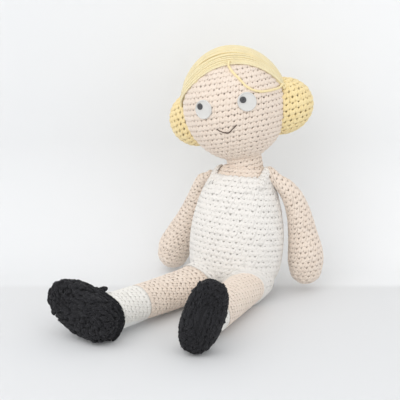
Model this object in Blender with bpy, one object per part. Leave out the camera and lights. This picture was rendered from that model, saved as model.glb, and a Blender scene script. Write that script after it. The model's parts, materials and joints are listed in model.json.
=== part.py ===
"""A crocheted doll that sits on the floor with its legs out in front and its head tilted.

Metres, +Z up. The doll faces -Y and its left is +X. The origin is on the flat of the seat.
Every stuffed form is a crocheted wall with its stuffing inside. Lengths along a limb start at its joint.
"""

from math import acos, asin, cos, degrees, pi, radians, sin, sqrt

import bmesh
import bpy
from mathutils import Matrix, Vector

for old in list(bpy.data.objects):
    bpy.data.objects.remove(old, do_unlink=True)

MM = 0.001

# Clearances and flats
GAP = 0.3 * MM  # between pieces that meet
SEAT_CUT = 0.5 * MM  # depth of the flats that rest on the floor

# Walls of the crocheted pieces
BODY_WALL = 2.0 * MM
SUIT_WALL = 1.9 * MM
HEAD_WALL = 2.2 * MM
BUN_WALL = 2.0 * MM
LIMB_WALL = 1.8 * MM

# Facets round each form
HEAD_SIDES = 24
BUN_SIDES = 18
BODY_SIDES = 24
LIMB_SIDES = 14
SMALL_SIDES = 12

# Body: (share of its height, share of its half width), from the underside to the shoulders
BODY_LEAN = radians(12)
SEAT_SETBACK = 8.5 * MM  # from the foot of the body's axis back to the middle of the seat
BODY_DEPTH_SHARE = 0.86  # depth as a share of width
BODY_HEIGHT = 87.0 * MM
BODY_HALF_WIDTH = 30.4 * MM
BODY_PROFILE_SHARES = (
    (0.03, 0.049),
    (0.033, 0.263),
    (0.051, 0.51),
    (0.094, 0.74),
    (0.155, 0.882),
    (0.23, 0.961),
    (0.356, 1.0),
    (0.483, 0.993),
    (0.598, 0.951),
    (0.713, 0.872),
    (0.805, 0.786),
    (0.874, 0.697),
    (0.931, 0.612),
    (0.977, 0.533),
    (1.0, 0.49),
)
SUIT_TOP_SHARE = 0.8276  # height of the neckline, of the body's height

# Neck and the tilt of the head
NECK_LIFT = 1.0 * MM  # from the top of the body up to the joint of the neck
NECK_DRIFT = 2.3 * MM  # how far the neck stands to the doll's left
NECK_DRIFT_FROM_SHARE = 0.8046
NECK_BALL = 12.2 * MM
NECK_RADIUS = 11.7 * MM
HEAD_TILT = radians(13)  # to the doll's right
HEAD_NOD = radians(6)
HEAD_TURN = radians(6)

# Head: an egg a little taller than it is wide
HEAD_HALF_WIDTH = 34.9 * MM
HEAD_HALF_HEIGHT = 38.0 * MM
HEAD_RISE = 42.8 * MM  # from the joint of the neck to the middle of the head

# Hair: a cap behind a slanted plane, given by its normal in the head's own directions
HAIR_THICKNESS = 1.8 * MM
HAIR_PLANE_NORMAL = Vector((-0.18, 0.846, 0.501))
HAIR_PLANE_OFFSET = -8.0 * MM
TACK_AT = (14.0, 46.0)  # longitude and latitude in degrees
TACK_HALF_LENGTH = 2.6 * MM
TACK_RADIUS = 0.7 * MM
STRAY_RADIUS = 0.9 * MM
STRAY_ROUTE = (
    (14, 42),
    (18, 34.4),
    (23.3, 26.9),
    (31.4, 18.2),
    (37.4, 14.6),
    (44.3, 12.0),
    (52.4, 10.6),
    (63.9, 10.0),
    (75, 10.0),
)

# Buns: crocheted domes behind and a little below the ears
BUN_LONGITUDE = radians(110)
BUN_LATITUDE = radians(-11)
BUN_CENTRE = 36.0 * MM  # from the middle of the head
BUN_RADIUS = 19.0 * MM
BUN_REACH = {"left": 18.0 * MM, "right": 15.5 * MM}  # from the bun's middle to its outer end
BUN_ROOT = 9.0 * MM  # from the bun's middle to the rim that the head trims

# Eyes and mouth, as (longitude, latitude) in degrees
EYE_AT = {"right": (-23.8, 4.3), "left": (25.5, 4.6)}
EYE_RADIUS = 7.0 * MM
EYE_HEIGHT = 1.1 * MM  # over the skin
EYE_PROFILE_SHARES = ((-1.5, 1.0), (0.27, 1.0), (0.64, 0.93), (0.91, 0.71), (1.0, 0.36))
PUPIL_AT = {"right": (-27.3, 6.6), "left": (21.3, 6.5)}
PUPIL_RADIUS = 2.15 * MM
PUPIL_HEIGHT = 0.95 * MM  # over the eye
PUPIL_PROFILE_SHARES = ((0.0, 1.0), (0.53, 1.0), (0.84, 0.84), (1.0, 0.47))
MOUTH_ROUTE = ((-13.1, -17.8), (-7.8, -21.3), (-0.9, -23.4), (4.9, -20.0), (10.6, -16.5))
MOUTH_RADIUS = 0.45 * MM

# Shoulder straps: (degrees round the body from the front, share of its height), front to back
STRAP_RADIUS = 1.7 * MM
STRAP_ROUTE_SHARES = (
    (54, 0.845),
    (62, 0.891),
    (76, 0.943),
    (90, 0.961),
    (104, 0.943),
    (118, 0.891),
    (126, 0.845),
)

# Arms: a ball at the shoulder, then shares of (outward, back, down, radius) from it to the hand
ARM_HEIGHT_SHARE = 0.8851  # of the shoulder joint, of the body's height
ARM_ANGLE = {"left": radians(93), "right": radians(100)}  # round the body from its front
ARM_BALL = 4.4 * MM
ARM_OPENING = 1.6 * MM
ARM_AXIS_RISE = radians(12)  # of the hinge's outer end
ARM_AXIS_SWEEP = radians(18)  # of the hinge's outer end towards the back
ARM_DROP = 60.0 * MM  # that the shares of an arm's route are taken of
HAND_RADIUS = 12.0 * MM
ARM_ROUTE_SHARES = {
    "left": (
        (0.073, 0.023, 0.018, 0.492),
        (0.163, 0.048, 0.151, 0.6),
        (0.233, 0.064, 0.34, 0.692),
        (0.276, 0.073, 0.55, 0.817),
        (0.313, 0.073, 0.753, 0.975),
        (0.323, 0.073, 0.875, 1.017),
        (0.325, 0.073, 0.976, 0.95),
    ),
    "right": (
        (0.086, 0.063, 0.059, 0.433),
        (0.146, 0.097, 0.234, 0.567),
        (0.217, 0.113, 0.425, 0.675),
        (0.301, 0.107, 0.617, 0.783),
        (0.387, 0.087, 0.794, 0.9),
        (0.441, 0.07, 0.922, 0.975),
        (0.462, 0.062, 0.999, 0.925),
    ),
}

# Legs: a ball at the hip, then the skin down to the sock, then the sock down to the foot
HIP_HALF_SPACING = 16.0 * MM
HIP_FORWARD = 15.0 * MM  # of the foot of the body's axis
HIP_HEIGHT = 13.4 * MM  # above the floor
HIP_RADIUS = 12.3 * MM
HIP_OPENING = 6.0 * MM
SOCK_FROM = 63.0 * MM
SOCK_TOP_RADIUS = 11.7 * MM
ANKLE_RADIUS = 11.3 * MM
ANKLE_HEIGHT = 20.5 * MM  # of the bend at the ankle, above the sole
ANKLE_EASE = 5.0 * MM  # the straight of the leg ends this far above the bend
LEG_LENGTH = {"left": 96.5 * MM, "right": 108.0 * MM}  # from the hip to the sole
LEG_TURN_OUT = {"left": radians(-3.8), "right": radians(22)}
FOOT_TURN_OUT = {"left": radians(13.5), "right": radians(70)}
FOOT_POINT = {"left": radians(-5), "right": radians(6)}
FOOT_ROLL = radians(-12.5)  # of the sole about the foot's length, inward
SETTLING_STEPS = 4

# Shoes: shares of (height above the sole, half length, half width, how far the middle is before the ankle)
SHOE_HEIGHT = 17.0 * MM
SHOE_HALF_LENGTH = 25.3 * MM
SHOE_HALF_WIDTH = 15.0 * MM
SHOE_FORWARD = 14.5 * MM
SHOE_WALL = 2.5 * MM
SHOE_PROFILE_SHARES = (
    (0.0, 0.652, 0.52, 1.0),
    (0.053, 0.889, 0.833, 1.0),
    (0.182, 0.98, 0.973, 1.0),
    (0.4, 1.0, 1.0, 0.993),
    (0.629, 0.953, 0.993, 0.91),
    (0.8, 0.838, 0.98, 0.71),
    (0.924, 0.704, 0.967, 0.421),
    (1.0, 0.609, 0.953, 0.166),
)
SHOE_WIDEST_SHARE = 0.4  # height above the sole where the shoe is widest
SHOE_STRAP_RADIUS = 1.5 * MM
SHOE_STRAP_SWEEP = radians(50)  # to each side of the instep
SHOE_STRAP_OFFSET = 0.5 * MM  # over the sock
SHOE_STRAP_RISE = 2.5 * MM  # of the strap's middle over its ends

SIDES = {"left": 1, "right": -1}
X_AXIS = Vector((1, 0, 0))
UP = Vector((0, 0, 1))


def material(name, colour, roughness):
    made = bpy.data.materials.new(name)
    made.use_nodes = True
    shader = made.node_tree.nodes["Principled BSDF"]
    shader.inputs["Base Color"].default_value = (*colour, 1)
    shader.inputs["Roughness"].default_value = roughness
    shader.inputs["Metallic"].default_value = 0
    return made


def smooth(points, steps):
    """Points on a smooth curve through the given ones, with this many steps in each span."""
    rows = [Vector(point) for point in points]
    rows = [rows[0] * 2 - rows[1], *rows, rows[-1] * 2 - rows[-2]]
    curve = []
    for a, b, c, d in zip(rows, rows[1:], rows[2:], rows[3:]):
        for step in range(steps):
            t = step / steps
            bend = (a * 2 - b * 5 + c * 4 - d) * t**2
            twist = (b * 3 - a - c * 3 + d) * t**3
            curve.append((b * 2 + (c - a) * t + bend + twist) / 2)
    return [*curve, rows[-2]]


def swollen(profile, distance):
    """A (height, radius) profile moved outward by this distance, square to itself."""
    moved = []
    for i, (height, radius) in enumerate(profile):
        before = profile[max(i - 1, 0)]
        after = profile[min(i + 1, len(profile) - 1)]
        along = Vector((after[0] - before[0], after[1] - before[1])).normalized()
        moved.append((height - along.y * distance, radius + along.x * distance))
    return moved


def ellipse(centre, one, other, one_radius, other_radius, sides):
    """A ring of points; one and other are the directions of its two radii."""
    turns = (2 * pi * i / sides for i in range(sides))
    return [centre + one * (one_radius * cos(turn)) + other * (other_radius * sin(turn)) for turn in turns]


def ring(centre, one, other, radius, sides):
    return ellipse(centre, one, other, radius, radius, sides)


def loft(name, rings, finish, origin=Vector(), looped=False):
    """A closed solid through rings of points, with its ends capped or, where it is looped, joined."""
    mesh = bmesh.new()
    ring = bmesh.ops.create_circle(mesh, radius=1, segments=len(rings[0]))["verts"]
    for vert, point in zip(ring, rings[0]):
        vert.co = point
    first_edges = edges = list(mesh.edges)
    for points in rings[1:]:
        place = {vert.co.to_tuple(): i for i, vert in enumerate(ring)}
        made = bmesh.ops.extrude_edge_only(mesh, edges=edges)["geom"]
        fresh = {item for item in made if isinstance(item, bmesh.types.BMVert)}
        ring = sorted(fresh, key=lambda vert: place[vert.co.to_tuple()])
        edges = [item for item in made if isinstance(item, bmesh.types.BMEdge)]
        edges = [edge for edge in edges if set(edge.verts) <= fresh]
        for vert, point in zip(ring, points):
            vert.co = point
    if looped:
        bmesh.ops.bridge_loops(mesh, edges=[*first_edges, *edges])
    else:
        bmesh.ops.contextual_create(mesh, geom=first_edges)
        bmesh.ops.contextual_create(mesh, geom=edges)
    bmesh.ops.recalc_face_normals(mesh, faces=mesh.faces)
    return finished(name, mesh, finish, origin)


def finished(name, mesh, finish, origin=Vector()):
    """An object from a bmesh in world places, with its origin where it turns."""
    for vert in mesh.verts:
        vert.co -= origin
    for face in mesh.faces:
        face.smooth = True
    data = bpy.data.meshes.new(name)
    mesh.to_mesh(data)
    mesh.free()
    made = bpy.data.objects.new(name, data)
    made.location = origin
    bpy.context.scene.collection.objects.link(made)
    if finish is None:
        made.hide_render = True
        made.display_type = "WIRE"
    else:
        data.materials.append(finish)
    return made


def tube(name, points, radius, finish, origin=Vector()):
    """A round cord through the given points, with closed ends."""
    curve = bpy.data.curves.new(name, "CURVE")
    curve.dimensions = "3D"
    curve.bevel_depth = radius
    curve.bevel_resolution = 1
    curve.use_fill_caps = True
    line = curve.splines.new("POLY")
    line.points.add(len(points) - 1)
    for place, point in zip(line.points, points):
        place.co = (*(point - origin), 1)
    line.use_smooth = True
    curve.materials.append(finish)
    made = bpy.data.objects.new(name, curve)
    made.location = origin
    bpy.context.scene.collection.objects.link(made)
    return made


def cut(target, *cutters):
    for cutter in cutters:
        step = target.modifiers.new("cut_" + cutter.name, "BOOLEAN")
        step.operation = "DIFFERENCE"
        step.solver = "EXACT"
        step.object = cutter


def cut_flat(target):
    """Cuts away what is under the floor and closes the piece there."""
    floor = -target.location.z
    mesh = bmesh.new()
    mesh.from_mesh(target.data)
    everything = [*mesh.verts, *mesh.edges, *mesh.faces]
    sliced = bmesh.ops.bisect_plane(
        mesh, geom=everything, plane_co=(0, 0, floor), plane_no=(0, 0, -1), clear_outer=True
    )
    rim = [item for item in sliced["geom_cut"] if isinstance(item, bmesh.types.BMEdge)]
    bmesh.ops.contextual_create(mesh, geom=rim)
    bmesh.ops.recalc_face_normals(mesh, faces=mesh.faces)
    mesh.to_mesh(target.data)
    mesh.free()


def lowest(rings):
    return min(point.z for ring in rings for point in ring)


# Body, suit and straps

BODY_AXIS = Vector((0, sin(BODY_LEAN), cos(BODY_LEAN)))
BODY_BACK = Vector((0, cos(BODY_LEAN), -sin(BODY_LEAN)))

skin = material("skin", (0.86, 0.71, 0.61), 0.9)
suit_yarn = material("suit_yarn", (0.9, 0.88, 0.84), 0.9)
sock_yarn = material("sock_yarn", (0.9, 0.88, 0.84), 0.9)
hair_yarn = material("hair_yarn", (0.9, 0.78, 0.5), 0.85)
bun_yarn = material("bun_yarn", (0.82, 0.66, 0.36), 0.9)
shoe_yarn = material("shoe_yarn", (0.03, 0.03, 0.035), 0.95)
eye_white = material("eye_white", (0.82, 0.85, 0.88), 0.35)
pupil_black = material("pupil_black", (0.03, 0.03, 0.03), 0.3)
mouth_thread = material("mouth_thread", (0.12, 0.08, 0.06), 0.7)
stuffing = material("stuffing", (0.88, 0.88, 0.86), 1.0)

body_profile = [(h * BODY_HEIGHT, w * BODY_HALF_WIDTH) for h, w in BODY_PROFILE_SHARES]
suit_gap = GAP / BODY_DEPTH_SHARE
suit_outside = swollen(body_profile, suit_gap + SUIT_WALL)

suit_drop = min(h * cos(BODY_LEAN) - r * BODY_DEPTH_SHARE * sin(BODY_LEAN) for h, r in suit_outside)
BODY_FOOT = Vector((0, -SEAT_SETBACK, -SEAT_CUT - suit_drop))


neck_height = BODY_HEIGHT + NECK_LIFT
drift_from = NECK_DRIFT_FROM_SHARE * BODY_HEIGHT


def drift(height):
    """How far the body's axis has moved to the doll's left at this height."""
    share = max(0, (height - drift_from) / (neck_height - drift_from))
    return NECK_DRIFT * share**2


def body_point(outward, back, height):
    return BODY_FOOT + X_AXIS * (outward + drift(height)) + BODY_BACK * back + BODY_AXIS * height


def radius_at(profile, height):
    before, after = next(pair for pair in zip(profile, profile[1:]) if pair[1][0] >= height)
    return before[1] + (after[1] - before[1]) * (height - before[0]) / (after[0] - before[0])


def body_rings(profile, top):
    """Rings of a body profile, from the underside up to this height."""
    rows = [row for row in profile if row[0] < top - GAP]
    rows.append((top, radius_at([*profile, (2 * top, profile[-1][1])], top)))
    return [
        ellipse(body_point(0, 0, height), X_AXIS, BODY_BACK, radius, radius * BODY_DEPTH_SHARE, BODY_SIDES)
        for height, radius in rows
    ]


def body_side(turn, height, distance):
    """A point this far outside the skin, at an angle round from the front."""
    radius = radius_at(swollen(body_profile, distance), height)
    return body_point(radius * sin(turn), -radius * BODY_DEPTH_SHARE * cos(turn), height)


body_top = body_profile[-1][0]
inner_profile = body_profile[::2]
body_inside = body_rings(swollen(inner_profile, -BODY_WALL), body_top)
suit_top = SUIT_TOP_SHARE * BODY_HEIGHT
suit_inside = body_rings(swollen(body_profile, suit_gap), suit_top)
body_shell = loft("body_shell", [*body_rings(body_profile, body_top), *reversed(body_inside)], skin)
body_fill = loft(
    "body_stuffing", body_rings(swollen(inner_profile, -BODY_WALL - suit_gap), body_top - GAP), stuffing
)
suit = loft("suit", [*body_rings(suit_outside, suit_top), *reversed(suit_inside)], suit_yarn)
cut_flat(suit)

for side, sign in SIDES.items():
    route = [
        body_side(radians(sign * angle), share * BODY_HEIGHT, STRAP_RADIUS + GAP)
        for angle, share in STRAP_ROUTE_SHARES
    ]
    tube(f"suit_strap_{side}", smooth(route, 2), STRAP_RADIUS, suit_yarn)

# Neck: a ball in the top of the body, and the short column that the head turns on

neck_joint = body_point(0, 0, neck_height)
tilted = Matrix.Rotation(-HEAD_TILT, 3, BODY_BACK) @ Matrix.Rotation(HEAD_NOD, 3, X_AXIS)
body_turn = Matrix((X_AXIS, BODY_BACK, BODY_AXIS)).transposed()
head_frame = tilted @ body_turn @ Matrix.Rotation(HEAD_TURN, 3, UP)
HEAD_X, HEAD_BACK, HEAD_UP = (head_frame.col[i].copy() for i in range(3))
head_middle = neck_joint + HEAD_UP * HEAD_RISE


def ball_rings(centre, radius, from_angle, to_angle, steps):
    """Rings of a ball between two angles in degrees up from its lowest point, along the head's axis."""
    turns = [radians(from_angle + (to_angle - from_angle) * i / steps) for i in range(steps + 1)]
    return [
        ring(centre - HEAD_UP * (radius * cos(turn)), HEAD_X, HEAD_BACK, radius * sin(turn), HEAD_SIDES)
        for turn in turns
    ]


neck_hole = NECK_RADIUS + GAP
neck_enters = HEAD_RISE - HEAD_HALF_HEIGHT * sqrt(1 - (NECK_RADIUS / HEAD_HALF_WIDTH) ** 2)
neck_top = neck_enters + HEAD_WALL
column_from = 180 - degrees(asin(NECK_RADIUS / NECK_BALL))
loft(
    "neck",
    [
        *ball_rings(neck_joint, NECK_BALL, 8, column_from, 6),
        ring(neck_joint + HEAD_UP * neck_top, HEAD_X, HEAD_BACK, NECK_RADIUS, HEAD_SIDES),
    ],
    skin,
    neck_joint,
)
neck_room = loft("neck_room", ball_rings(neck_joint, NECK_BALL + GAP, 4, 176, 12), None)
cut(body_shell, neck_room)
cut(body_fill, neck_room)

# Head


def head_point(longitude, latitude, distance):
    """A point this far outside the head's skin, and the direction square to the skin there."""
    around, up = radians(longitude), radians(latitude)
    wide, tall = HEAD_HALF_WIDTH, HEAD_HALF_HEIGHT
    outward = Vector((cos(up) * sin(around), -cos(up) * cos(around), sin(up)))
    square = Vector((outward.x / wide, outward.y / wide, outward.z / tall)).normalized()
    place = Vector((outward.x * wide, outward.y * wide, outward.z * tall)) + square * distance
    return head_middle + head_frame @ place, head_frame @ square


def head_rings(grown, from_latitude, to_latitude, steps):
    """Rings of the head's egg, grown by this much, between two latitudes in degrees."""
    turns = [radians(from_latitude + (to_latitude - from_latitude) * i / steps) for i in range(steps + 1)]
    wide, tall = HEAD_HALF_WIDTH + grown, HEAD_HALF_HEIGHT + grown
    return [
        ring(head_middle + HEAD_UP * (tall * sin(turn)), HEAD_X, HEAD_BACK, wide * cos(turn), HEAD_SIDES)
        for turn in turns
    ]


def hole_latitude(grown):
    return -degrees(acos(neck_hole / (HEAD_HALF_WIDTH + grown)))


head_outside = head_rings(0, 85, hole_latitude(0), 12)
head_inside = head_rings(-HEAD_WALL, 85, hole_latitude(-HEAD_WALL), 10)
loft("head_shell", [*head_outside, *reversed(head_inside)], skin, neck_joint)
fill_half_height = HEAD_HALF_HEIGHT - HEAD_WALL - GAP
fill_from = -degrees(asin((HEAD_RISE - neck_top - GAP) / fill_half_height))
loft("head_stuffing", head_rings(-HEAD_WALL - GAP, 85, fill_from, 10), stuffing, neck_joint)
head_room = loft("head_room", head_rings(GAP, 86, -86, 16), None)

# Buns


def bun_rings(direction, reach, shrunk, steps):
    """Rings of a bun from its outer end to its root inside the head."""
    across = direction.cross(HEAD_UP).normalized()
    other = direction.cross(across)
    middle = head_middle + direction * BUN_CENTRE
    turns = [radians(6 + 84 * i / steps) for i in range(steps + 1)]
    rows = [((reach - shrunk) * cos(turn), (BUN_RADIUS - shrunk) * sin(turn)) for turn in turns]
    rows.append((-BUN_ROOT, (BUN_RADIUS - shrunk)))
    return [ring(middle + direction * along, across, other, radius, BUN_SIDES) for along, radius in rows]


bun_rooms = []
for side, sign in SIDES.items():
    around, up = sign * BUN_LONGITUDE, BUN_LATITUDE
    direction = head_frame @ Vector((cos(up) * sin(around), -cos(up) * cos(around), sin(up)))
    reach = BUN_REACH[side]
    shell_rings = bun_rings(direction, reach, 0, 6)
    shell_rings += reversed(bun_rings(direction, reach, BUN_WALL, 6))
    bun = loft(f"bun_{side}", shell_rings, bun_yarn, neck_joint)
    fill_rings = bun_rings(direction, reach, BUN_WALL + GAP, 6)
    bun_fill = loft(f"bun_stuffing_{side}", fill_rings, stuffing, neck_joint)
    cut(bun, head_room)
    cut(bun_fill, head_room)
    bun_rooms.append(loft(f"bun_room_{side}", bun_rings(direction, reach, -GAP, 6), None))

# Hair, its tacking stitch and the loose strand

hair = loft("hair", head_rings(GAP + HAIR_THICKNESS, 86, -86, 16), hair_yarn, neck_joint)
plane_normal = (head_frame @ HAIR_PLANE_NORMAL).normalized()
face_side = bmesh.new()
box_half = 2 * HEAD_HALF_HEIGHT
plane_turn = UP.rotation_difference(plane_normal).to_matrix().to_4x4()
box_middle = head_middle + plane_normal * (HAIR_PLANE_OFFSET - box_half)
bmesh.ops.create_cube(face_side, size=2 * box_half, matrix=Matrix.Translation(box_middle) @ plane_turn)
face_room = finished("face_room", face_side, None)
cut(hair, head_room, face_room, *bun_rooms)

tack_step = degrees(TACK_HALF_LENGTH / HEAD_HALF_HEIGHT)
tack_over = HAIR_THICKNESS + 2 * GAP + TACK_RADIUS
tack_rows = [(TACK_AT[0], TACK_AT[1] + tack_step * share) for share in (-1, 0, 1)]
tube("hair_tack", [head_point(*row, tack_over)[0] for row in tack_rows], TACK_RADIUS, hair_yarn, neck_joint)

stray_rows = smooth([(*row, 0) for row in STRAY_ROUTE], 2)
stray_points = [head_point(row.x, row.y, STRAY_RADIUS + GAP)[0] for row in stray_rows]
tube("hair_strand", stray_points, STRAY_RADIUS, hair_yarn, neck_joint)

# Face


def button(name, centre, square, height, radius, profile_shares, finish):
    """A flat round piece, turned from shares of its height and radius, that faces along square."""
    across = HEAD_UP.cross(square).normalized()
    other = square.cross(across)
    rings = [
        ring(centre + square * (height * up), across, other, radius * out, SMALL_SIDES)
        for up, out in profile_shares
    ]
    return loft(name, rings, finish, neck_joint)


for side in SIDES:
    eye_centre, eye_square = head_point(*EYE_AT[side], 0)
    eye_shape = (EYE_HEIGHT, EYE_RADIUS, EYE_PROFILE_SHARES, eye_white)
    cut(button(f"eye_{side}", eye_centre, eye_square, *eye_shape), head_room)
    pupil_centre, _ = head_point(*PUPIL_AT[side], 0)
    shifted = pupil_centre - eye_centre
    shifted -= eye_square * shifted.dot(eye_square)
    front = eye_centre + shifted + eye_square * (EYE_HEIGHT + GAP)
    pupil_shape = (PUPIL_HEIGHT, PUPIL_RADIUS, PUPIL_PROFILE_SHARES, pupil_black)
    button(f"pupil_{side}", front, eye_square, *pupil_shape)

mouth_rows = smooth([(*row, 0) for row in MOUTH_ROUTE], 3)
mouth_points = [head_point(row.x, row.y, MOUTH_RADIUS + GAP)[0] for row in mouth_rows]
tube("mouth", mouth_points, MOUTH_RADIUS, mouth_thread, neck_joint)

# Arms


def arm_rings(route, shrunk):
    """Rings along an arm, from the ball at the shoulder to the tip of the hand, with its wall taken off."""
    centres = [Vector(row[:3]) for row in route]
    rings = []
    across = X_AXIS
    for i, (centre, row) in enumerate(zip(centres, route)):
        along = (centres[min(i + 1, len(centres) - 1)] - centres[max(i - 1, 0)]).normalized()
        across = (across - along * across.dot(along)).normalized()
        radius = row[3] - shrunk
        other = along.cross(across)
        if i == 0:
            for turn in (asin(ARM_OPENING / (ARM_BALL - shrunk)), radians(50)):
                start = centre - along * (radius * cos(turn))
                rings.append(ring(start, across, other, radius * sin(turn), LIMB_SIDES))
        rings.append(ring(centre, across, other, radius, LIMB_SIDES))
    for turn in (radians(30), radians(58), radians(80)):
        end = centre + along * (radius * sin(turn))
        rings.append(ring(end, across, other, radius * cos(turn), LIMB_SIDES))
    return rings


for side, sign in SIDES.items():
    shoulder = body_side(sign * ARM_ANGLE[side], ARM_HEIGHT_SHARE * BODY_HEIGHT, ARM_BALL + GAP)
    route = [(*shoulder, ARM_BALL)]
    for outward, back, down, girth in ARM_ROUTE_SHARES[side]:
        place = shoulder + Vector((sign * outward, back, -down)) * ARM_DROP
        route.append((*place, girth * HAND_RADIUS))
    inside = arm_rings(route, LIMB_WALL)
    loft(f"arm_{side}", [*reversed(arm_rings(route, 0)), *inside], skin, shoulder)
    loft(f"arm_stuffing_{side}", arm_rings(route, LIMB_WALL + GAP), stuffing, shoulder)
    rise, sweep = ARM_AXIS_RISE, ARM_AXIS_SWEEP
    arm_hinge = (-cos(rise) * cos(sweep), -sign * sin(sweep), -sign * sin(rise))
    print(f"shoulder_{side}", *shoulder, *arm_hinge)

# Legs, socks and shoes


class Leg:
    """The directions and places of one leg, for a height of its ankle above the floor."""

    def __init__(self, side, ankle_height):
        sign = SIDES[side]
        turn = LEG_TURN_OUT[side]
        reach = LEG_LENGTH[side] - ANKLE_HEIGHT
        self.hip = Vector((sign * HIP_HALF_SPACING, -SEAT_SETBACK - HIP_FORWARD, HIP_HEIGHT))
        ahead = Vector((sign * sin(turn), -cos(turn), 0))
        self.ankle = self.hip + ahead * reach
        self.ankle.z = ankle_height
        self.along = (self.ankle - self.hip).normalized()
        self.hinge = UP.cross(self.along).normalized()
        self.lift = (UP - self.along * UP.dot(self.along)).normalized()
        outward = self.hinge * sign
        self.front = self.lift * cos(FOOT_TURN_OUT[side]) + outward * sin(FOOT_TURN_OUT[side])
        self.across = self.along.cross(self.front)
        self.point = FOOT_POINT[side]
        self.reach = (self.ankle - self.hip).length

    def foot_turned(self, share):
        """The directions of the toe, the sole and the inner side, with this share of the foot's turning."""
        turn, roll = self.point * share, FOOT_ROLL * share
        toe = self.front * cos(turn) + self.along * sin(turn)
        level = self.along * cos(turn) - self.front * sin(turn)
        sole = level * cos(roll) + self.across * sin(roll)
        return toe, sole, self.across * cos(roll) - level * sin(roll)

    def foot_rings(self, rows):
        toe, sole, across = self.foot_turned(1)
        return [
            ellipse(
                self.ankle + sole * (ANKLE_HEIGHT - height) + toe * forward,
                toe,
                across,
                half_length,
                half_width,
                LIMB_SIDES,
            )
            for height, half_length, half_width, forward in rows
        ]

    def leg_ring(self, distance, radius):
        return ring(self.hip + self.along * distance, self.front, self.across, radius, LIMB_SIDES)

    def leg_rings(self, shrunk):
        """Rings from the opening of the ball at the hip to the top of the sock."""
        radius = HIP_RADIUS - shrunk
        start = asin(HIP_OPENING / radius)
        turns = [start + (pi / 2 - start) * i / 4 for i in range(5)]
        ball = [self.leg_ring(-radius * cos(turn), radius * sin(turn)) for turn in turns]
        halfway = self.leg_ring(SOCK_FROM / 2, (HIP_RADIUS + SOCK_TOP_RADIUS) / 2 - shrunk)
        return [*ball, halfway, self.leg_ring(SOCK_FROM, SOCK_TOP_RADIUS - shrunk)]

    def sock_rings(self, shrunk):
        """Rings from the top of the sock to the bend at the ankle."""
        toe, _, across = self.foot_turned(0.5)
        radius = ANKLE_RADIUS - shrunk
        return [
            self.leg_ring(SOCK_FROM + GAP, SOCK_TOP_RADIUS - shrunk),
            self.leg_ring(self.reach - ANKLE_EASE, radius),
            ring(self.ankle, toe, across, radius, LIMB_SIDES),
        ]


def inside_shoe(wall, slack):
    """The shoe's rows with a wall taken off all round, and this much slack beside it."""
    rows = []
    for height, length, width, forward in SHOE_PROFILE_SHARES:
        if height > SHOE_WIDEST_SHARE:
            shift = -(height - SHOE_WIDEST_SHARE) / (1 - SHOE_WIDEST_SHARE)
        else:
            shift = 1 - height / SHOE_WIDEST_SHARE
        half_length = length * SHOE_HALF_LENGTH - wall - slack
        half_width = width * SHOE_HALF_WIDTH - wall - slack
        rows.append((height * SHOE_HEIGHT + wall * shift, half_length, half_width, forward * SHOE_FORWARD))
    return rows


def channel_rings(leg, radius):
    """The room that a leg sweeps between its rest and straight down, as slices across it."""
    behind = UP.cross(leg.hinge)
    reach = 2 * BODY_HALF_WIDTH
    rings = []
    for i in range(13):
        turn = radians(3 + 174 * i / 12)
        slice_at = leg.hip - leg.hinge * (radius * cos(turn))
        half = radius * sin(turn)
        arc = [radians(15 * step) for step in range(7)]
        rings.append(
            [
                slice_at + leg.along * reach + leg.lift * half,
                slice_at + leg.along * reach - UP * reach,
                slice_at + behind * half - UP * reach,
                *(slice_at + (behind * cos(bend) + leg.lift * sin(bend)) * half for bend in arc),
            ]
        )
    return rings


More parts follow.
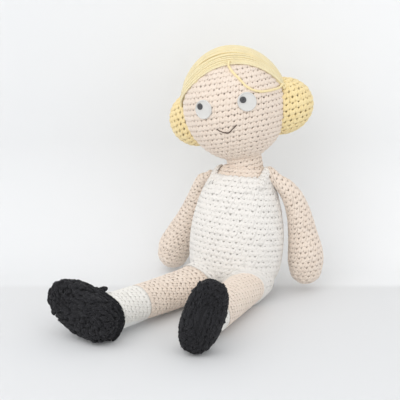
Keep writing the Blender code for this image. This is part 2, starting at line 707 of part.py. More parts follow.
shoe_outside, shoe_inside = inside_shoe(0, 0), inside_shoe(SHOE_WALL, 0)
foot_outside = inside_shoe(SHOE_WALL + GAP, GAP)
foot_inside = inside_shoe(SHOE_WALL + GAP + LIMB_WALL, GAP)
foot_fill = inside_shoe(SHOE_WALL + GAP + LIMB_WALL + GAP, 3 * GAP)
for side in SIDES:
    ankle_height = ANKLE_RADIUS
    for _ in range(SETTLING_STEPS):
        ankle_height -= lowest(Leg(side, ankle_height).foot_rings(shoe_outside)) + SEAT_CUT
    leg = Leg(side, ankle_height)

    leg_outside, leg_inside = leg.leg_rings(0), leg.leg_rings(LIMB_WALL)
    loft(f"leg_{side}", [*leg_outside, *reversed(leg_inside)], skin, leg.hip, looped=True)

    sock_rings = [*leg.foot_rings(foot_outside), *reversed(leg.sock_rings(0))]
    sock_rings += [*leg.sock_rings(LIMB_WALL), *reversed(leg.foot_rings(foot_inside))]
    loft(f"sock_{side}", sock_rings, sock_yarn, leg.hip)

    fill = LIMB_WALL + GAP
    fill_rings = [*leg.leg_rings(fill), *leg.sock_rings(fill)]
    fill_rings += reversed(leg.foot_rings(foot_fill))
    loft(f"leg_stuffing_{side}", fill_rings, stuffing, leg.hip)

    shoe_rings = [*leg.foot_rings(shoe_outside), *reversed(leg.foot_rings(shoe_inside))]
    shoe = loft(f"shoe_{side}", shoe_rings, shoe_yarn, leg.hip)
    cut_flat(shoe)

    toe, sole, across = leg.foot_turned(1)
    strap_reach = ANKLE_RADIUS + SHOE_STRAP_OFFSET + GAP + SHOE_STRAP_RADIUS
    rim_height = shoe_outside[-1][0] + GAP + SHOE_STRAP_RADIUS
    strap_points = []
    for i in range(13):
        share = i / 6 - 1
        turn = SHOE_STRAP_SWEEP * share
        rise = rim_height + SHOE_STRAP_RISE * sqrt(1 - abs(share) ** 2.5)
        over = leg.ankle + sole * (ANKLE_HEIGHT - rise)
        strap_points.append(over + toe * (strap_reach * cos(turn)) + across * (strap_reach * sin(turn)))
    tube(f"shoe_strap_{side}", strap_points, SHOE_STRAP_RADIUS, shoe_yarn, leg.hip)

    channel = loft(f"leg_room_{side}", channel_rings(leg, HIP_RADIUS + GAP), None)
    cut(body_shell, channel)
    cut(body_fill, channel)
    cut(suit, channel)
    print(f"hip_{side}", *leg.hip, *leg.hinge)
    print(f"ankle_{side}", *leg.ankle, *leg.along)

print("neck", *neck_joint, *HEAD_UP)
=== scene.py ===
import json
import logging
from collections.abc import Callable, Iterable, Sequence
from dataclasses import dataclass
from enum import Enum
from math import cos, pi, radians, sin, sqrt
from typing import TypeVar

import bmesh
import bpy
import numpy as np
from mathutils import Matrix, Vector


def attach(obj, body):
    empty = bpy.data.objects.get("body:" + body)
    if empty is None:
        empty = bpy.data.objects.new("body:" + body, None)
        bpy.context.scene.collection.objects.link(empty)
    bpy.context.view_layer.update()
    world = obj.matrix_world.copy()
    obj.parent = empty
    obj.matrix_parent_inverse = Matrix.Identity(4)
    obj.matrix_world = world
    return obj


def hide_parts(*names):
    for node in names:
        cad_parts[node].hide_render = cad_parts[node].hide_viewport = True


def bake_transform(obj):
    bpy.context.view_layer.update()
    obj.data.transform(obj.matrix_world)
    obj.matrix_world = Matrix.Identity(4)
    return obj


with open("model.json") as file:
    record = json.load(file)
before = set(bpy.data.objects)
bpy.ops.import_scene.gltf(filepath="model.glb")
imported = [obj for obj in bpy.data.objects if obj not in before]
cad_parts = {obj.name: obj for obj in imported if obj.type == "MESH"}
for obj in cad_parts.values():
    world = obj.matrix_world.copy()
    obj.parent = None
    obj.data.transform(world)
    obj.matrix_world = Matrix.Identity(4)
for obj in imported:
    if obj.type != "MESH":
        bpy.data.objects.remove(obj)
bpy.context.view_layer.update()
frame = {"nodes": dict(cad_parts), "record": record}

MM = 0.001
# Gap between two solids that touch
GAP = 0.3 * MM
# How deep the floor cuts into the round seat and soles
SEAT_CUT = 0.5 * MM
# Radius that a closed end draws in to
POLE = 0.05 * MM
# Height over the floor that low stitches are pressed up to
FLOOR_GAP = 0.05 * MM
# Distance within which the edges of a wrapped cloth are welded
WELD = 0.02 * MM
X_AXIS = Vector((1, 0, 0))
UP = Vector((0, 0, 1))

log = logging.getLogger("doll")

FRAME_JOINTS = {row["name"]: np.array(row["pos_m"]) for row in frame["record"]["behaviour"]["joints"]}

# Centre, two unit directions and the radii along them
Ring = tuple[Vector, Vector, Vector, float, float]
Mesh = bpy.types.Mesh
BMesh = bmesh.types.BMesh
Node = bpy.types.Node
Socket = bpy.types.NodeSocket
Tree = bpy.types.NodeTree
Material = bpy.types.Material
Colour = tuple[float, float, float]
# A second body, where a piece would start to follow it, and from where it would follow that alone
Follow = tuple[str, Vector, Vector]
Picked = TypeVar("Picked")


class Side(Enum):
    """The doll's own left and right, with the sign of its X."""

    LEFT = 1
    RIGHT = -1

    @property
    def word(self) -> str:
        """The side as it stands in node and body names."""
        return self.name.lower()

    def pick(self, left: Picked, right: Picked) -> Picked:
        """This side's one of two values."""
        return left if self is Side.LEFT else right


# Shapes


def smooth_route(points: Sequence[Sequence[float]], steps: int) -> np.ndarray:
    """A smooth curve through points.

    Args:
        points: Rows of any width that the curve passes through.
        steps: How many steps each span is cut into.

    Returns:
        The rows of the curve, with both ends.
    """
    rows = np.asarray(points, float)
    rows = np.vstack([2 * rows[0] - rows[1], rows, 2 * rows[-1] - rows[-2]])
    curve = []
    for a, b, c, d in zip(rows, rows[1:], rows[2:], rows[3:]):
        for t in np.arange(steps) / steps:
            bend = (2 * a - 5 * b + 4 * c - d) * t**2
            twist = (3 * b - a - 3 * c + d) * t**3
            curve.append((2 * b + (c - a) * t + bend + twist) / 2)
    return np.array([*curve, rows[-2]])


class Form:
    """A stuffed form: a smooth skin over rings, addressed by the way along it and the turn round it."""

    def __init__(self, rings: Sequence[Ring], steps: int = 12, blunt: float = 1.0) -> None:
        """Smooths the rings into a dense table.

        Args:
            rings: Centre, two unit directions and the two radii of each ring.
            steps: How many rows each span of the table gets.
            blunt: 1 for elliptical rings, less for fuller ones.
        """
        self.blunt = blunt
        rows = [[*centre, *one, *other, wide, deep] for centre, one, other, wide, deep in rings]
        table = smooth_route(rows, steps)
        table[:, 9:] = np.maximum(table[:, 9:], POLE)
        turns = np.linspace(0, 2 * pi, 8, endpoint=False)
        skin = (
            table[:, None, 0:3]
            + table[:, None, 3:6] * (table[:, 9, None] * np.cos(turns))[:, :, None]
            + table[:, None, 6:9] * (table[:, 10, None] * np.sin(turns))[:, :, None]
        )
        strides = np.linalg.norm(np.diff(skin, axis=0), axis=2).mean(axis=1)
        along = np.concatenate([[0], np.cumsum(strides)])
        keep = np.concatenate([[True], np.diff(along) > 1e-9])
        along, table = along[keep], table[keep]
        self.length = float(along[-1])
        self.grid = np.linspace(0, self.length, 600)
        self.table = np.stack([np.interp(self.grid, along, column) for column in table.T], axis=1)
        self.slope = np.gradient(self.table, self.grid, axis=0)
        middle = self.length / 2
        point, out = self._place(np.array([middle]), np.array([0.3]))
        centre = self._at(np.array([middle]), self.table)[:, 0:3]
        self.outward = float(np.sign(np.sum(out * (point - centre))))

    def _at(self, along: np.ndarray, table: np.ndarray) -> np.ndarray:
        """Rows of a table at these ways along."""
        return np.stack([np.interp(along, self.grid, column) for column in table.T], axis=-1)

    def _place(self, along: np.ndarray, turn: np.ndarray) -> tuple[np.ndarray, np.ndarray]:
        """Points on the skin and the raw directions square to it."""
        row, rise = self._at(along, self.table), self._at(along, self.slope)
        c, s = np.cos(turn)[:, None], np.sin(turn)[:, None]
        wide, deep = row[:, 9:10], row[:, 10:11]
        flank, brow = (np.sign(part) * np.abs(part) ** (2 - self.blunt) for part in (s, c))
        across = -row[:, 3:6] * wide * flank + row[:, 6:9] * deep * brow
        c, s = (np.sign(part) * np.abs(part) ** self.blunt for part in (c, s))
        point = row[:, 0:3] + row[:, 3:6] * wide * c + row[:, 6:9] * deep * s
        up = rise[:, 0:3] + (rise[:, 3:6] * wide + row[:, 3:6] * rise[:, 9:10]) * c
        up += (rise[:, 6:9] * deep + row[:, 6:9] * rise[:, 10:11]) * s
        out = np.cross(across, up)
        return point, out / np.maximum(np.linalg.norm(out, axis=1, keepdims=True), 1e-12)

    def place(self, along: np.ndarray, turn: np.ndarray, out: np.ndarray | float) -> np.ndarray:
        """Points over the skin.

        Args:
            along: The way along the form, in metres.
            turn: The turn round it, in radians; x, y and out of a flat cloth stay right-handed.
            out: The height over the skin, in metres.

        Returns:
            One row of x, y and z for each point.
        """
        point, square = self._place(np.clip(along, 0, self.length), turn * self.outward)
        return point + square * self.outward * np.reshape(out, (-1, 1))

    def girth(self, along: float) -> float:
        """The length once round the form at this way along."""
        wide, deep = (float(np.interp(along, self.grid, self.table[:, k])) for k in (9, 10))
        return pi * (3 * (wide + deep) - sqrt((3 * wide + deep) * (wide + 3 * deep)))

    def nearest(self, point: Sequence[float]) -> float:
        """The way along the form of the ring whose centre is nearest to this point."""
        return float(self.grid[np.argmin(np.linalg.norm(self.table[:, 0:3] - np.array(point), axis=1))])


def mesh_from(bm: BMesh, name: str) -> Mesh:
    """Turns a bmesh into a mesh and frees it."""
    mesh = bpy.data.meshes.new(name)
    bm.to_mesh(mesh)
    bm.free()
    return mesh


def points_of(mesh: Mesh) -> np.ndarray:
    """The vertices of a mesh, one row each."""
    points = np.empty(len(mesh.vertices) * 3, np.float32)
    mesh.vertices.foreach_get("co", points)
    return points.reshape(-1, 3).astype(float)


def move_points(mesh: Mesh, points: np.ndarray) -> None:
    """Gives a mesh's vertices these places."""
    mesh.vertices.foreach_set("co", np.ascontiguousarray(points, np.float32).ravel())
    mesh.update()


def flat_cloth(across: int, along: int) -> BMesh:
    """A flat cloth of squares to be wrapped round something.

    Args:
        across: Squares from edge to edge, which become the way round.
        along: Squares from end to end.

    Returns:
        A bmesh from 0 to 1 both ways, whose UV map holds the same places.
    """
    cloth = bmesh.new()
    shift = Matrix.Translation((0.5, 0.5, 0)) @ Matrix.Diagonal((0.5, 0.5, 1, 1))
    bmesh.ops.create_grid(cloth, x_segments=across, y_segments=along, size=1, matrix=shift)
    uv = cloth.loops.layers.uv.new("UVMap")
    for face in cloth.faces:
        for loop in face.loops:
            loop[uv].uv = loop.vert.co.xy
    return cloth


def closed_up(bm: BMesh, within: float) -> None:
    """Welds the edges that meet and caps the ends of a wrapped cloth."""
    bmesh.ops.remove_doubles(bm, verts=bm.verts, dist=within)
    rims = [edge for edge in bm.edges if edge.is_boundary]
    if rims:
        bmesh.ops.holes_fill(bm, edges=rims, sides=0)
    bmesh.ops.recalc_face_normals(bm, faces=bm.faces)
    for face in bm.faces:
        face.smooth = True


def lined(
    form: Form,
    sides: int,
    rows: int,
    first: float,
    last: float,
    relief: Callable[[np.ndarray, np.ndarray], tuple[np.ndarray, np.ndarray]],
) -> BMesh:
    """A closed cloth wrapped round a stretch of a form.

    Args:
        form: What it is wrapped round.
        sides: Squares round the form.
        rows: Squares along it.
        first: Where it starts, in metres along the form.
        last: Where it stops.
        relief: Gives the heights over the skin and the painted shade for ways along and shares of a turn.

    Returns:
        A closed bmesh, with its painted shade in the attribute tone.
    """
    cloth = flat_cloth(sides, rows)
    flat = np.array([vert.co[:] for vert in cloth.verts])
    along = first + (last - first) * flat[:, 1]
    out, dark = relief(along, flat[:, 0])
    layer = cloth.verts.layers.float.new("tone")
    for vert, point, tone in zip(cloth.verts, form.place(along, flat[:, 0] * 2 * pi, out), dark):
        vert.co = point
        vert[layer] = tone
    closed_up(cloth, WELD)
    return cloth


def wrapped(form: Form, out: float, sides: int, rows: int, dark: float = 0.6) -> BMesh:
    """A closed lining round a whole form, at one height over its skin and with one amount of painted shade.
    """

    def level(along: np.ndarray, _: np.ndarray) -> tuple[np.ndarray, np.ndarray]:
        """The same height and painted shade everywhere."""
        return np.full_like(along, out), np.full_like(along, dark)

    return lined(form, sides, rows, 0.0, form.length, level)


def dome(
    centre: Vector, pole: Vector, one: Vector, other: Vector, radius: float, turns: Iterable[float]
) -> list[Ring]:
    """Rings of a round end.

    Args:
        centre: The middle of its ball.
        pole: From there to its tip.
        one: First direction of the rings.
        other: Second direction of the rings.
        radius: Of the ball.
        turns: The place of each ring, in degrees from the tip.

    Returns:
        One ring for each turn.
    """
    rings: list[Ring] = []
    for turn in turns:
        a = radians(turn)
        rings.append((centre + pole * (radius * cos(a)), one, other, radius * sin(a), radius * sin(a)))
    return rings


def ovoid(
    centre: Vector, up: Vector, one: Vector, other: Vector, semi: Sequence[float], steps: int, least: float
) -> list[Ring]:
    """Rings of an egg from pole to pole.

    Args:
        centre: Its middle.
        up: The way to its upper pole.
        one: First direction of the rings.
        other: Second direction of the rings.
        semi: Half its size along these three.
        steps: How many spans it is cut into.
        least: The smallest share of a radius at a pole.

    Returns:
        One ring for each cut.
    """
    tall, wide, deep = semi
    rings: list[Ring] = []
    for step in range(steps + 1):
        turn = -pi / 2 + pi * step / steps
        share = max(cos(turn), least)
        rings.append((centre + up * (tall * sin(turn)), one, other, wide * share, deep * share))
    return rings


def yarn_tube(route: np.ndarray, radii: np.ndarray, sides: int, flat: float = 1.0) -> BMesh:
    """A length of yarn along a route.

    Args:
        route: Its points.
        radii: Its radius at each point.
        sides: Facets round it.
        flat: Its thickness as a share of its width, where the route lies flat.

    Returns:
        A closed bmesh, with the way round in U and metres along it in V.
    """
    tube = flat_cloth(sides, len(route) - 1)
    uv = tube.loops.layers.uv.active
    heading = np.gradient(route, axis=0)
    heading /= np.linalg.norm(heading, axis=1, keepdims=True)
    beside = np.cross(heading, np.tile([0.0, 0.0, 1.0], (len(route), 1)))
    beside /= np.linalg.norm(beside, axis=1, keepdims=True)
    over = np.cross(beside, heading)
    strides = np.concatenate([[0], np.cumsum(np.linalg.norm(np.diff(route, axis=0), axis=1))])
    for face in tube.faces:
        for loop in face.loops:
            row = round(loop[uv].uv.y * (len(route) - 1))
            loop[uv].uv.y = strides[row]
    for vert in tube.verts:
        row = round(vert.co.y * (len(route) - 1))
        turn = vert.co.x * 2 * pi
        vert.co = route[row] + radii[row] * (beside[row] * cos(turn) + over[row] * sin(turn) * flat)
    closed_up(tube, 0.001 * MM)
    return tube


def copies(template: Mesh, count: int) -> Mesh:
    """Copies of a mesh in one mesh, in order, with the same places.

    Args:
        template: The mesh to repeat.
        count: How many copies.

    Returns:
        A mesh that holds them all.
    """
    pattern = bpy.data.objects.new("pattern", template)
    bpy.context.scene.collection.objects.link(pattern)
    repeat = pattern.modifiers.new("repeat", "ARRAY")
    repeat.use_relative_offset = False
    repeat.use_constant_offset = False
    repeat.count = count
    graph = bpy.context.evaluated_depsgraph_get()
    mesh = bpy.data.meshes.new_from_object(pattern.evaluated_get(graph))
    bpy.data.objects.remove(pattern)
    return mesh


# Stitches


# Across, along, outward and thickness of a strand of a V, as shares of the stitch's sizes
STRAND_SHARES = np.array(
    [
        (0.08, -0.44, 0.0, 0.45), (0.13, -0.30, 0.85, 0.72), (0.19, -0.05, 1.00, 1.05),
        (0.25, 0.20, 1.00, 1.05), (0.34, 0.45, 1.00, 0.62), (0.41, 0.70, 0.80, 0.62),
    ]
)
# How much further along the right strand of a V goes than the left one
STRAND_LEAN = 0.06
# Squares of the lining from one row of stitches to the next
CLOTH_ROWS = 5


@dataclass(frozen=True)
class Stitch:
    """One crochet stitch, a V of two strands.

    Attributes:
        width: From stitch to stitch along a row.
        height: From row to row.
        yarn: Radius of the yarn.
        rise: How far the middle of the strands stands over the skin.
        sink: How deep their ends go.
        drift: How far each row stands beside the one before it, in stitches.
        jitter: How uneven the stitches are, as a share of their width.
        lumps: How uneven their height is.
        fuzz: How rough a strand is.
        ridge: Height of the loops between the rows, seen behind the V.
        pit: Depth of the holes inside the Vs.
        dark: How much painted shade darkens those holes, up to 1.
        flat: Thickness of a strand as a share of its width.
    """

    width: float = 3.9 * MM
    height: float = 3.72 * MM
    yarn: float = 1.42 * MM
    rise: float = 0.0 * MM
    sink: float = -1.3 * MM
    drift: float = 0.23
    jitter: float = 0.025
    lumps: float = 0.06 * MM
    fuzz: float = 0.02 * MM
    ridge: float = -0.35 * MM
    pit: float = -1.7 * MM
    dark: float = 1.0
    flat: float = 0.38

    def leg(self, hand: int) -> BMesh:
        """One strand of the V, on the left for -1 and on the right for 1."""
        aside, along, out, thick = STRAND_SHARES.T
        route = np.empty((len(STRAND_SHARES), 3))
        route[:, 0] = hand * aside * self.width
        route[:, 1] = (along + STRAND_LEAN * hand * aside) * self.height
        route[:, 2] = self.sink + (self.rise - self.sink) * out
        return yarn_tube(route, self.yarn * thick, 6, self.flat)

    def template(self) -> Mesh:
        """The whole V, lying flat with its point down."""
        bm = bmesh.new()
        for hand in (-1, 1):
            strand = mesh_from(self.leg(hand), "strand")
            bm.from_mesh(strand)
            bpy.data.meshes.remove(strand)
        return mesh_from(bm, "stitch")


def set_tone(mesh: Mesh, tone: np.ndarray) -> None:
    """Gives each vertex its shade of the yarn, from 0 to 1, in the attribute tone."""
    layer = mesh.attributes.new("tone", "FLOAT", "POINT")
    layer.data.foreach_set("value", np.ascontiguousarray(tone, np.float32))


@dataclass
class Rounds:
    """Rows of stitches worked round a form in one spiral.

    Attributes:
        form: What they cover.
        stitch: The stitch.
        start: The way along where the first row starts, in metres.
        stop: Where the last row stops.
        seed: For the small unevenness of the work.
        keep: Says which stitches are made, from their places; all of them without it.
        fewest: The stitches in the smallest row.
        slope: How far the rows lie higher on one side than in the middle.
    """

    form: Form
    stitch: Stitch
    start: float
    stop: float
    seed: int
    keep: Callable[[np.ndarray], np.ndarray] | None = None
    fewest: int = 6
    slope: float = 0.0

    def __post_init__(self) -> None:
        """Fits a whole number of rows between the ends."""
        self.rows = max(1, round((self.stop - self.start) / self.stitch.height))
        self.height = (self.stop - self.start) / self.rows

    def stitches(self, girth: float) -> int:
        """The stitches in a row of this girth: six are added or left out at a time, on a thin form two."""
        count = girth / self.stitch.width
        group = 6 if count > 30 else 2
        return max(self.fewest, group * round(count / group))

    def sloped(self, along: np.ndarray, turn: np.ndarray) -> np.ndarray:
        """How far the slope of the rows moves a place along the form."""
        return self.slope * np.sin(turn) * np.sin(pi * np.clip(along / self.form.length, 0, 1))

    def spiral(self) -> tuple[np.ndarray, np.ndarray]:
        """The turn of each stitch along the whole spiral, and the turn that it takes up.

        A row closes a little past its first stitch, so the next one stands drifted beside it without a seam.
        """
        turns, steps = [], []
        turn = 0.0
        while turn < 2 * pi * self.rows - 1e-6:
            row = int(turn / (2 * pi))
            count = self.stitches(self.form.girth(self.start + (row + 0.5) * self.height))
            step = 2 * pi / (count - self.stitch.drift)
            turns.append(turn)
            steps.append(step)
            turn += step
        return np.array(turns), np.array(steps)

    def worked(self) -> Mesh:
        """The mesh of all the stitches, with a shade for each."""
        stitch, form, height = self.stitch, self.form, self.height
        chance = np.random.default_rng(self.seed)
        turn, step = self.spiral()
        if self.keep is not None:
            made = self.keep(form.place(self.start + height * turn / (2 * pi), turn, 0.0))
            turn, step = turn[made], step[made]
        count = len(turn)
        template = stitch.template()
        flat = points_of(template)
        mesh = copies(template, count)
        turn = turn + chance.normal(0, stitch.jitter, count) * step
        way = self.start + chance.normal(0, stitch.jitter, count) * height
        lift = chance.normal(0, 1, count) * stitch.lumps
        swell = 1 + chance.normal(0, 0.05, count)
        x, y, z = (flat[None, :, k] + chance.normal(0, stitch.fuzz, (count, len(flat))) for k in range(3))
        drifted = x * swell[:, None] / stitch.width + stitch.drift * y / stitch.height
        round_form = turn[:, None] + drifted * step[:, None]
        along = way[:, None] + (y * swell[:, None] / stitch.height + round_form / (2 * pi)) * height
        along = along + self.sloped(along, round_form)
        move_points(mesh, form.place(along.ravel(), round_form.ravel(), (z + lift[:, None]).ravel()))
        set_tone(mesh, np.repeat(chance.random(count), len(flat)))
        return mesh

    def lining(
        self, sides: int, first: float = 0.0, last: float | None = None, holes: bool = False
    ) -> BMesh:
        """The closed cloth behind the Vs: a ridge between the rows and a pit along each row.

        Args:
            sides: Squares round the form.
            first: Where it starts, in metres along the form.
            last: Where it stops; at the form's end without it.
            holes: Whether the pit of a row is one hole for each stitch.

        Returns:
            A closed bmesh, with painted shade in its pits by the attribute tone.
        """
        last = self.form.length if last is None else last
        turns, steps = self.spiral()
        middles = turns - self.stitch.drift / 2 * steps

        def relief(along: np.ndarray, share: np.ndarray) -> tuple[np.ndarray, np.ndarray]:
            """Heights of the pits and their painted shade."""
            level = along - self.sloped(along, share * 2 * pi)
            phase = (level - self.start) / self.height - (share - 0.5)
            pit = (0.5 + 0.5 * np.cos(2 * pi * phase)) ** 2
            pit[(phase < 0.5) | (phase > self.rows - 0.5)] = 0
            if holes:
                column = np.interp(2 * pi * (np.rint(phase) + share), middles, np.arange(len(turns)))
                pit *= (0.5 + 0.5 * np.cos(2 * pi * column)) ** 2
            # Painted shade: the deeper a pit, the darker it is painted
            return self.stitch.ridge + (self.stitch.pit - self.stitch.ridge) * pit, pit * self.stitch.dark

        rows = max(12, round((last - first) / self.height * CLOTH_ROWS))
        return lined(self.form, sides, rows, first, last, relief)


def joined(name: str, lining: BMesh | None, *meshes: Mesh) -> Mesh:
    """One mesh of a lining and what is worked over it.

    Args:
        name: The mesh's name.
        lining: The closed form underneath, which gets the second material.
        meshes: Stitches and strands, with the first material.

    Returns:
        The joined mesh.
    """
    bm = bmesh.new()
    for mesh in meshes:
        bm.from_mesh(mesh)
        bpy.data.meshes.remove(mesh)
    for face in bm.faces:
        face.material_index = 0
        face.smooth = True
    worked = len(bm.faces)
    if lining is not None:
        under = mesh_from(lining, "lining")
        bm.from_mesh(under)
        bpy.data.meshes.remove(under)
        bm.faces.ensure_lookup_table()
        for face in bm.faces[worked:]:
            face.material_index = 1
    return mesh_from(bm, name)


def pressed(mesh: Mesh) -> Mesh:
    """Flattens what would go through the floor."""
    points = points_of(mesh)
    points[:, 2] = np.maximum(points[:, 2], FLOOR_GAP)
    move_points(mesh, points)
    return mesh


# Finishes


def fed(tree: Tree, node: Node, inputs: dict[str | int, object]) -> Node:
    """Links or sets a node's inputs.

    Args:
        tree: The node's tree.
        node: The node.
        inputs: A socket, a number or a colour for each input, by its name or its place.

    Returns:
        The same node.
    """
    for place, value in inputs.items():
        if isinstance(value, Socket):
            tree.links.new(value, node.inputs[place])
        else:
            node.inputs[place].default_value = (*value, 1) if isinstance(value, tuple) else value
    return node


def math_node(tree: Tree, kind: str, a: object, b: object = 0.0) -> Socket:
    """What a Math node of this kind makes of two inputs, each a socket or a number."""
    node = tree.nodes.new("ShaderNodeMath")
    node.operation = kind
    return fed(tree, node, {0: a, 1: b}).outputs[0]


def mixed(tree: Tree, share: object, a: object, b: object) -> Socket:
    """A mix of two colours, each a socket or a tuple, with this share of the second one."""
    node = tree.nodes.new("ShaderNodeMix")
    node.data_type = "RGBA"
    return fed(tree, node, {0: share, 6: a, 7: b}).outputs[2]


def noise(tree: Tree, place: Socket, scale: object, detail: float, roughness: float = 0.5) -> Socket:
    """Noise at a place, of this scale a metre."""
    node = tree.nodes.new("ShaderNodeTexNoise")
    inputs = {"Vector": place, "Scale": scale, "Detail": detail, "Roughness": roughness}
    return fed(tree, node, inputs).outputs["Fac"]


def ranged(
    tree: Tree, value: Socket, low: float, high: float, top: float = 1.0, kind: str = "SMOOTHSTEP"
) -> Socket:
    """A value's place between two others, from 0 to the top."""
    node = tree.nodes.new("ShaderNodeMapRange")
    node.interpolation_type = kind
    inputs = {"Value": value, "From Min": low, "From Max": high, "To Max": top}
    return fed(tree, node, inputs).outputs["Result"]


def bumped(tree: Tree, shader: Node, height: Socket, distance: float, strength: float = 1.0) -> None:
    """Gives a shader the relief of a height."""
    bump = tree.nodes.new("ShaderNodeBump")
    fed(tree, bump, {"Height": height, "Distance": distance, "Strength": strength})
    fed(tree, shader, {"Normal": bump.outputs["Normal"]})


def started(name: str, inputs: dict[str | int, object]) -> tuple[Material, Tree, Node]:
    """A new material, its tree and its shader with these inputs."""
    material = bpy.data.materials.new(name)
    material.use_nodes = True
    tree = material.node_tree
    return material, tree, fed(tree, tree.nodes["Principled BSDF"], inputs)


def yarn_group() -> Tree:
    """The plies and fibres of yarn: the height of its surface, the mask of the painted shade in its grooves
    and a slow mottle.
    """
    group = bpy.data.node_groups.get("yarn_plies")
    if group is not None:
        return group
    group = bpy.data.node_groups.new("yarn_plies", "ShaderNodeTree")
    for name in ("Way", "Place"):
        group.interface.new_socket(name, in_out="INPUT", socket_type="NodeSocketVector")
    for name, value in (("Plies", 3.0), ("Twist", 450.0), ("Fibres", 3200.0)):
        socket = group.interface.new_socket(name, in_out="INPUT", socket_type="NodeSocketFloat")
        socket.default_value = value
    for name in ("Height", "Groove", "Mottle"):
        group.interface.new_socket(name, in_out="OUTPUT", socket_type="NodeSocketFloat")
    start, end = group.nodes.new("NodeGroupInput"), group.nodes.new("NodeGroupOutput")
    parts = fed(group, group.nodes.new("ShaderNodeSeparateXYZ"), {0: start.outputs["Way"]})
    around = math_node(group, "MULTIPLY", parts.outputs["X"], start.outputs["Plies"])
    along = math_node(group, "MULTIPLY", parts.outputs["Y"], start.outputs["Twist"])
    wave = math_node(group, "SINE", math_node(group, "MULTIPLY", math_node(group, "ADD", around, along), pi))
    ply = math_node(group, "ABSOLUTE", wave)
    fibres = noise(group, start.outputs["Place"], start.outputs["Fibres"], 3, 0.6)
    height = math_node(group, "ADD", ply, math_node(group, "MULTIPLY", fibres, 0.5))
    # Painted shade mask: strongest deep in the grooves between the plies
    groove_shade = math_node(group, "POWER", math_node(group, "SUBTRACT", 1.0, ply), 3.0)
    mottle = noise(group, start.outputs["Place"], 90, 2)
    fed(group, end, {"Height": height, "Groove": groove_shade, "Mottle": mottle})
    return group


@dataclass(frozen=True)
class Yarn:
    """The finish of one yarn.

    Attributes:
        name: The material's name.
        slot: The record's material slot.
        colour: Its colour in the light.
        shade: The darker end of its random tone from stitch to stitch, and the colour of the painted shade in
            the grooves of its plies.
        depth: The colour of painted shade in the holes and gaps between the strands.
        roughness: How dull it is.
        sheen: How much its fibres glow at the rim.
        twist: Turns of its plies a metre.
        bump: The height of its plies.
        uneven: How much the shade changes from stitch to stitch.
    """

    name: str
    slot: str
    colour: Colour
    shade: Colour
    depth: Colour
    roughness: float = 0.8
    sheen: float = 0.25
    twist: float = 450.0
    bump: float = 0.12 * MM
    uneven: float = 0.25

    def _start(self, name: str) -> tuple[Material, Tree, Node, Node, Socket]:
        """A new material, its tree, its shader, the plies of the yarn and the tone of the mesh."""
        dull = {"Roughness": self.roughness, "Specular IOR Level": 0.3}
        fuzzy = {"Sheen Weight": self.sheen, "Sheen Roughness": 0.5}
        material, tree, shader = started(name, dull | fuzzy)
        place = tree.nodes.new("ShaderNodeTexCoord")
        plies = tree.nodes.new("ShaderNodeGroup")
        plies.node_tree = yarn_group()
        fed(tree, plies, {"Way": place.outputs["UV"], "Place": place.outputs["Object"], "Twist": self.twist})
        tone = tree.nodes.new("ShaderNodeAttribute")
        tone.attribute_name = "tone"
        return material, tree, shader, plies, tone.outputs["Fac"]

    def worked(self) -> Material:
        """The yarn of the stitches, with painted shade in the grooves of its plies."""
        if self.name in bpy.data.materials:
            return bpy.data.materials[self.name]
        material, tree, shader, plies, tone = self._start(self.name)
        cast = math_node(tree, "ADD", tone, plies.outputs["Mottle"])
        base = mixed(tree, math_node(tree, "MULTIPLY", cast, self.uneven), self.colour, self.shade)
        # Painted shade in the grooves between the plies
        groove_shade = math_node(tree, "MULTIPLY", plies.outputs["Groove"], 0.55)
        fed(tree, shader, {"Base Color": mixed(tree, groove_shade, base, self.shade)})
        bumped(tree, shader, plies.outputs["Height"], self.bump, 0.8)
        return material

    def lining(self) -> Material:
        """The cloth between the strands, with painted shade where its tone is."""
        name = self.name + "_depth"
        if name in bpy.data.materials:
            return bpy.data.materials[name]
        material, tree, shader, plies, tone = self._start(name)
        base = mixed(tree, plies.outputs["Mottle"], self.colour, self.shade)
        # Painted shade: the depth colour where the tone marks a pit or a gap between strands
        fed(tree, shader, {"Base Color": mixed(tree, tone, base, self.depth)})
        bumped(tree, shader, plies.outputs["Mottle"], self.bump)
        return material


# The third colour of each yarn is the painted shade of its holes and gaps
SKIN = Yarn("skin_yarn", "skin", (0.865, 0.755, 0.655), (0.78, 0.645, 0.535), (0.29, 0.15, 0.10))
SUIT = Yarn(
    "suit_yarn_white", "suit_yarn", (0.86, 0.83, 0.79), (0.80, 0.77, 0.72), (0.50, 0.47, 0.43), uneven=0.1
)
SOCK = Yarn(
    "sock_yarn_white", "sock_yarn", (0.87, 0.85, 0.805), (0.84, 0.81, 0.75), (0.55, 0.50, 0.44), uneven=0.1
)
HAIR = Yarn(
    "hair_yarn_pale", "hair_yarn", (0.93, 0.84, 0.57), (0.87, 0.70, 0.35), (0.62, 0.41, 0.13),
    roughness=0.6, sheen=0.3, twist=300.0, bump=0.05 * MM, uneven=0.26,
)
BUN = Yarn("bun_yarn_yellow", "bun_yarn", (0.94, 0.79, 0.45), (0.82, 0.61, 0.27), (0.34, 0.19, 0.04))
SHOE = Yarn(
    "shoe_yarn_black", "shoe_yarn", (0.022, 0.022, 0.025), (0.010, 0.010, 0.012), (0.004, 0.004, 0.005),
    roughness=0.95, sheen=0.05,
)
MOUTH = Yarn(
    "mouth_thread_brown", "mouth_thread", (0.12, 0.075, 0.055), (0.05, 0.03, 0.02), (0.04, 0.02, 0.02),
    roughness=0.6, sheen=0.1,
)


def patchy(
    name: str, colour: Colour, other: Colour, scale: float, detail: float
) -> tuple[Material, Tree, Node, Socket]:
    """A new material of two colours in patches, its tree, its shader and the share of the second colour."""
    material, tree, shader = started(name, {"Roughness": 1.0})
    place = tree.nodes.new("ShaderNodeTexCoord")
    patches = noise(tree, place.outputs["Object"], scale, detail)
    fed(tree, shader, {"Base Color": mixed(tree, patches, colour, other)})
    return material, tree, shader, patches


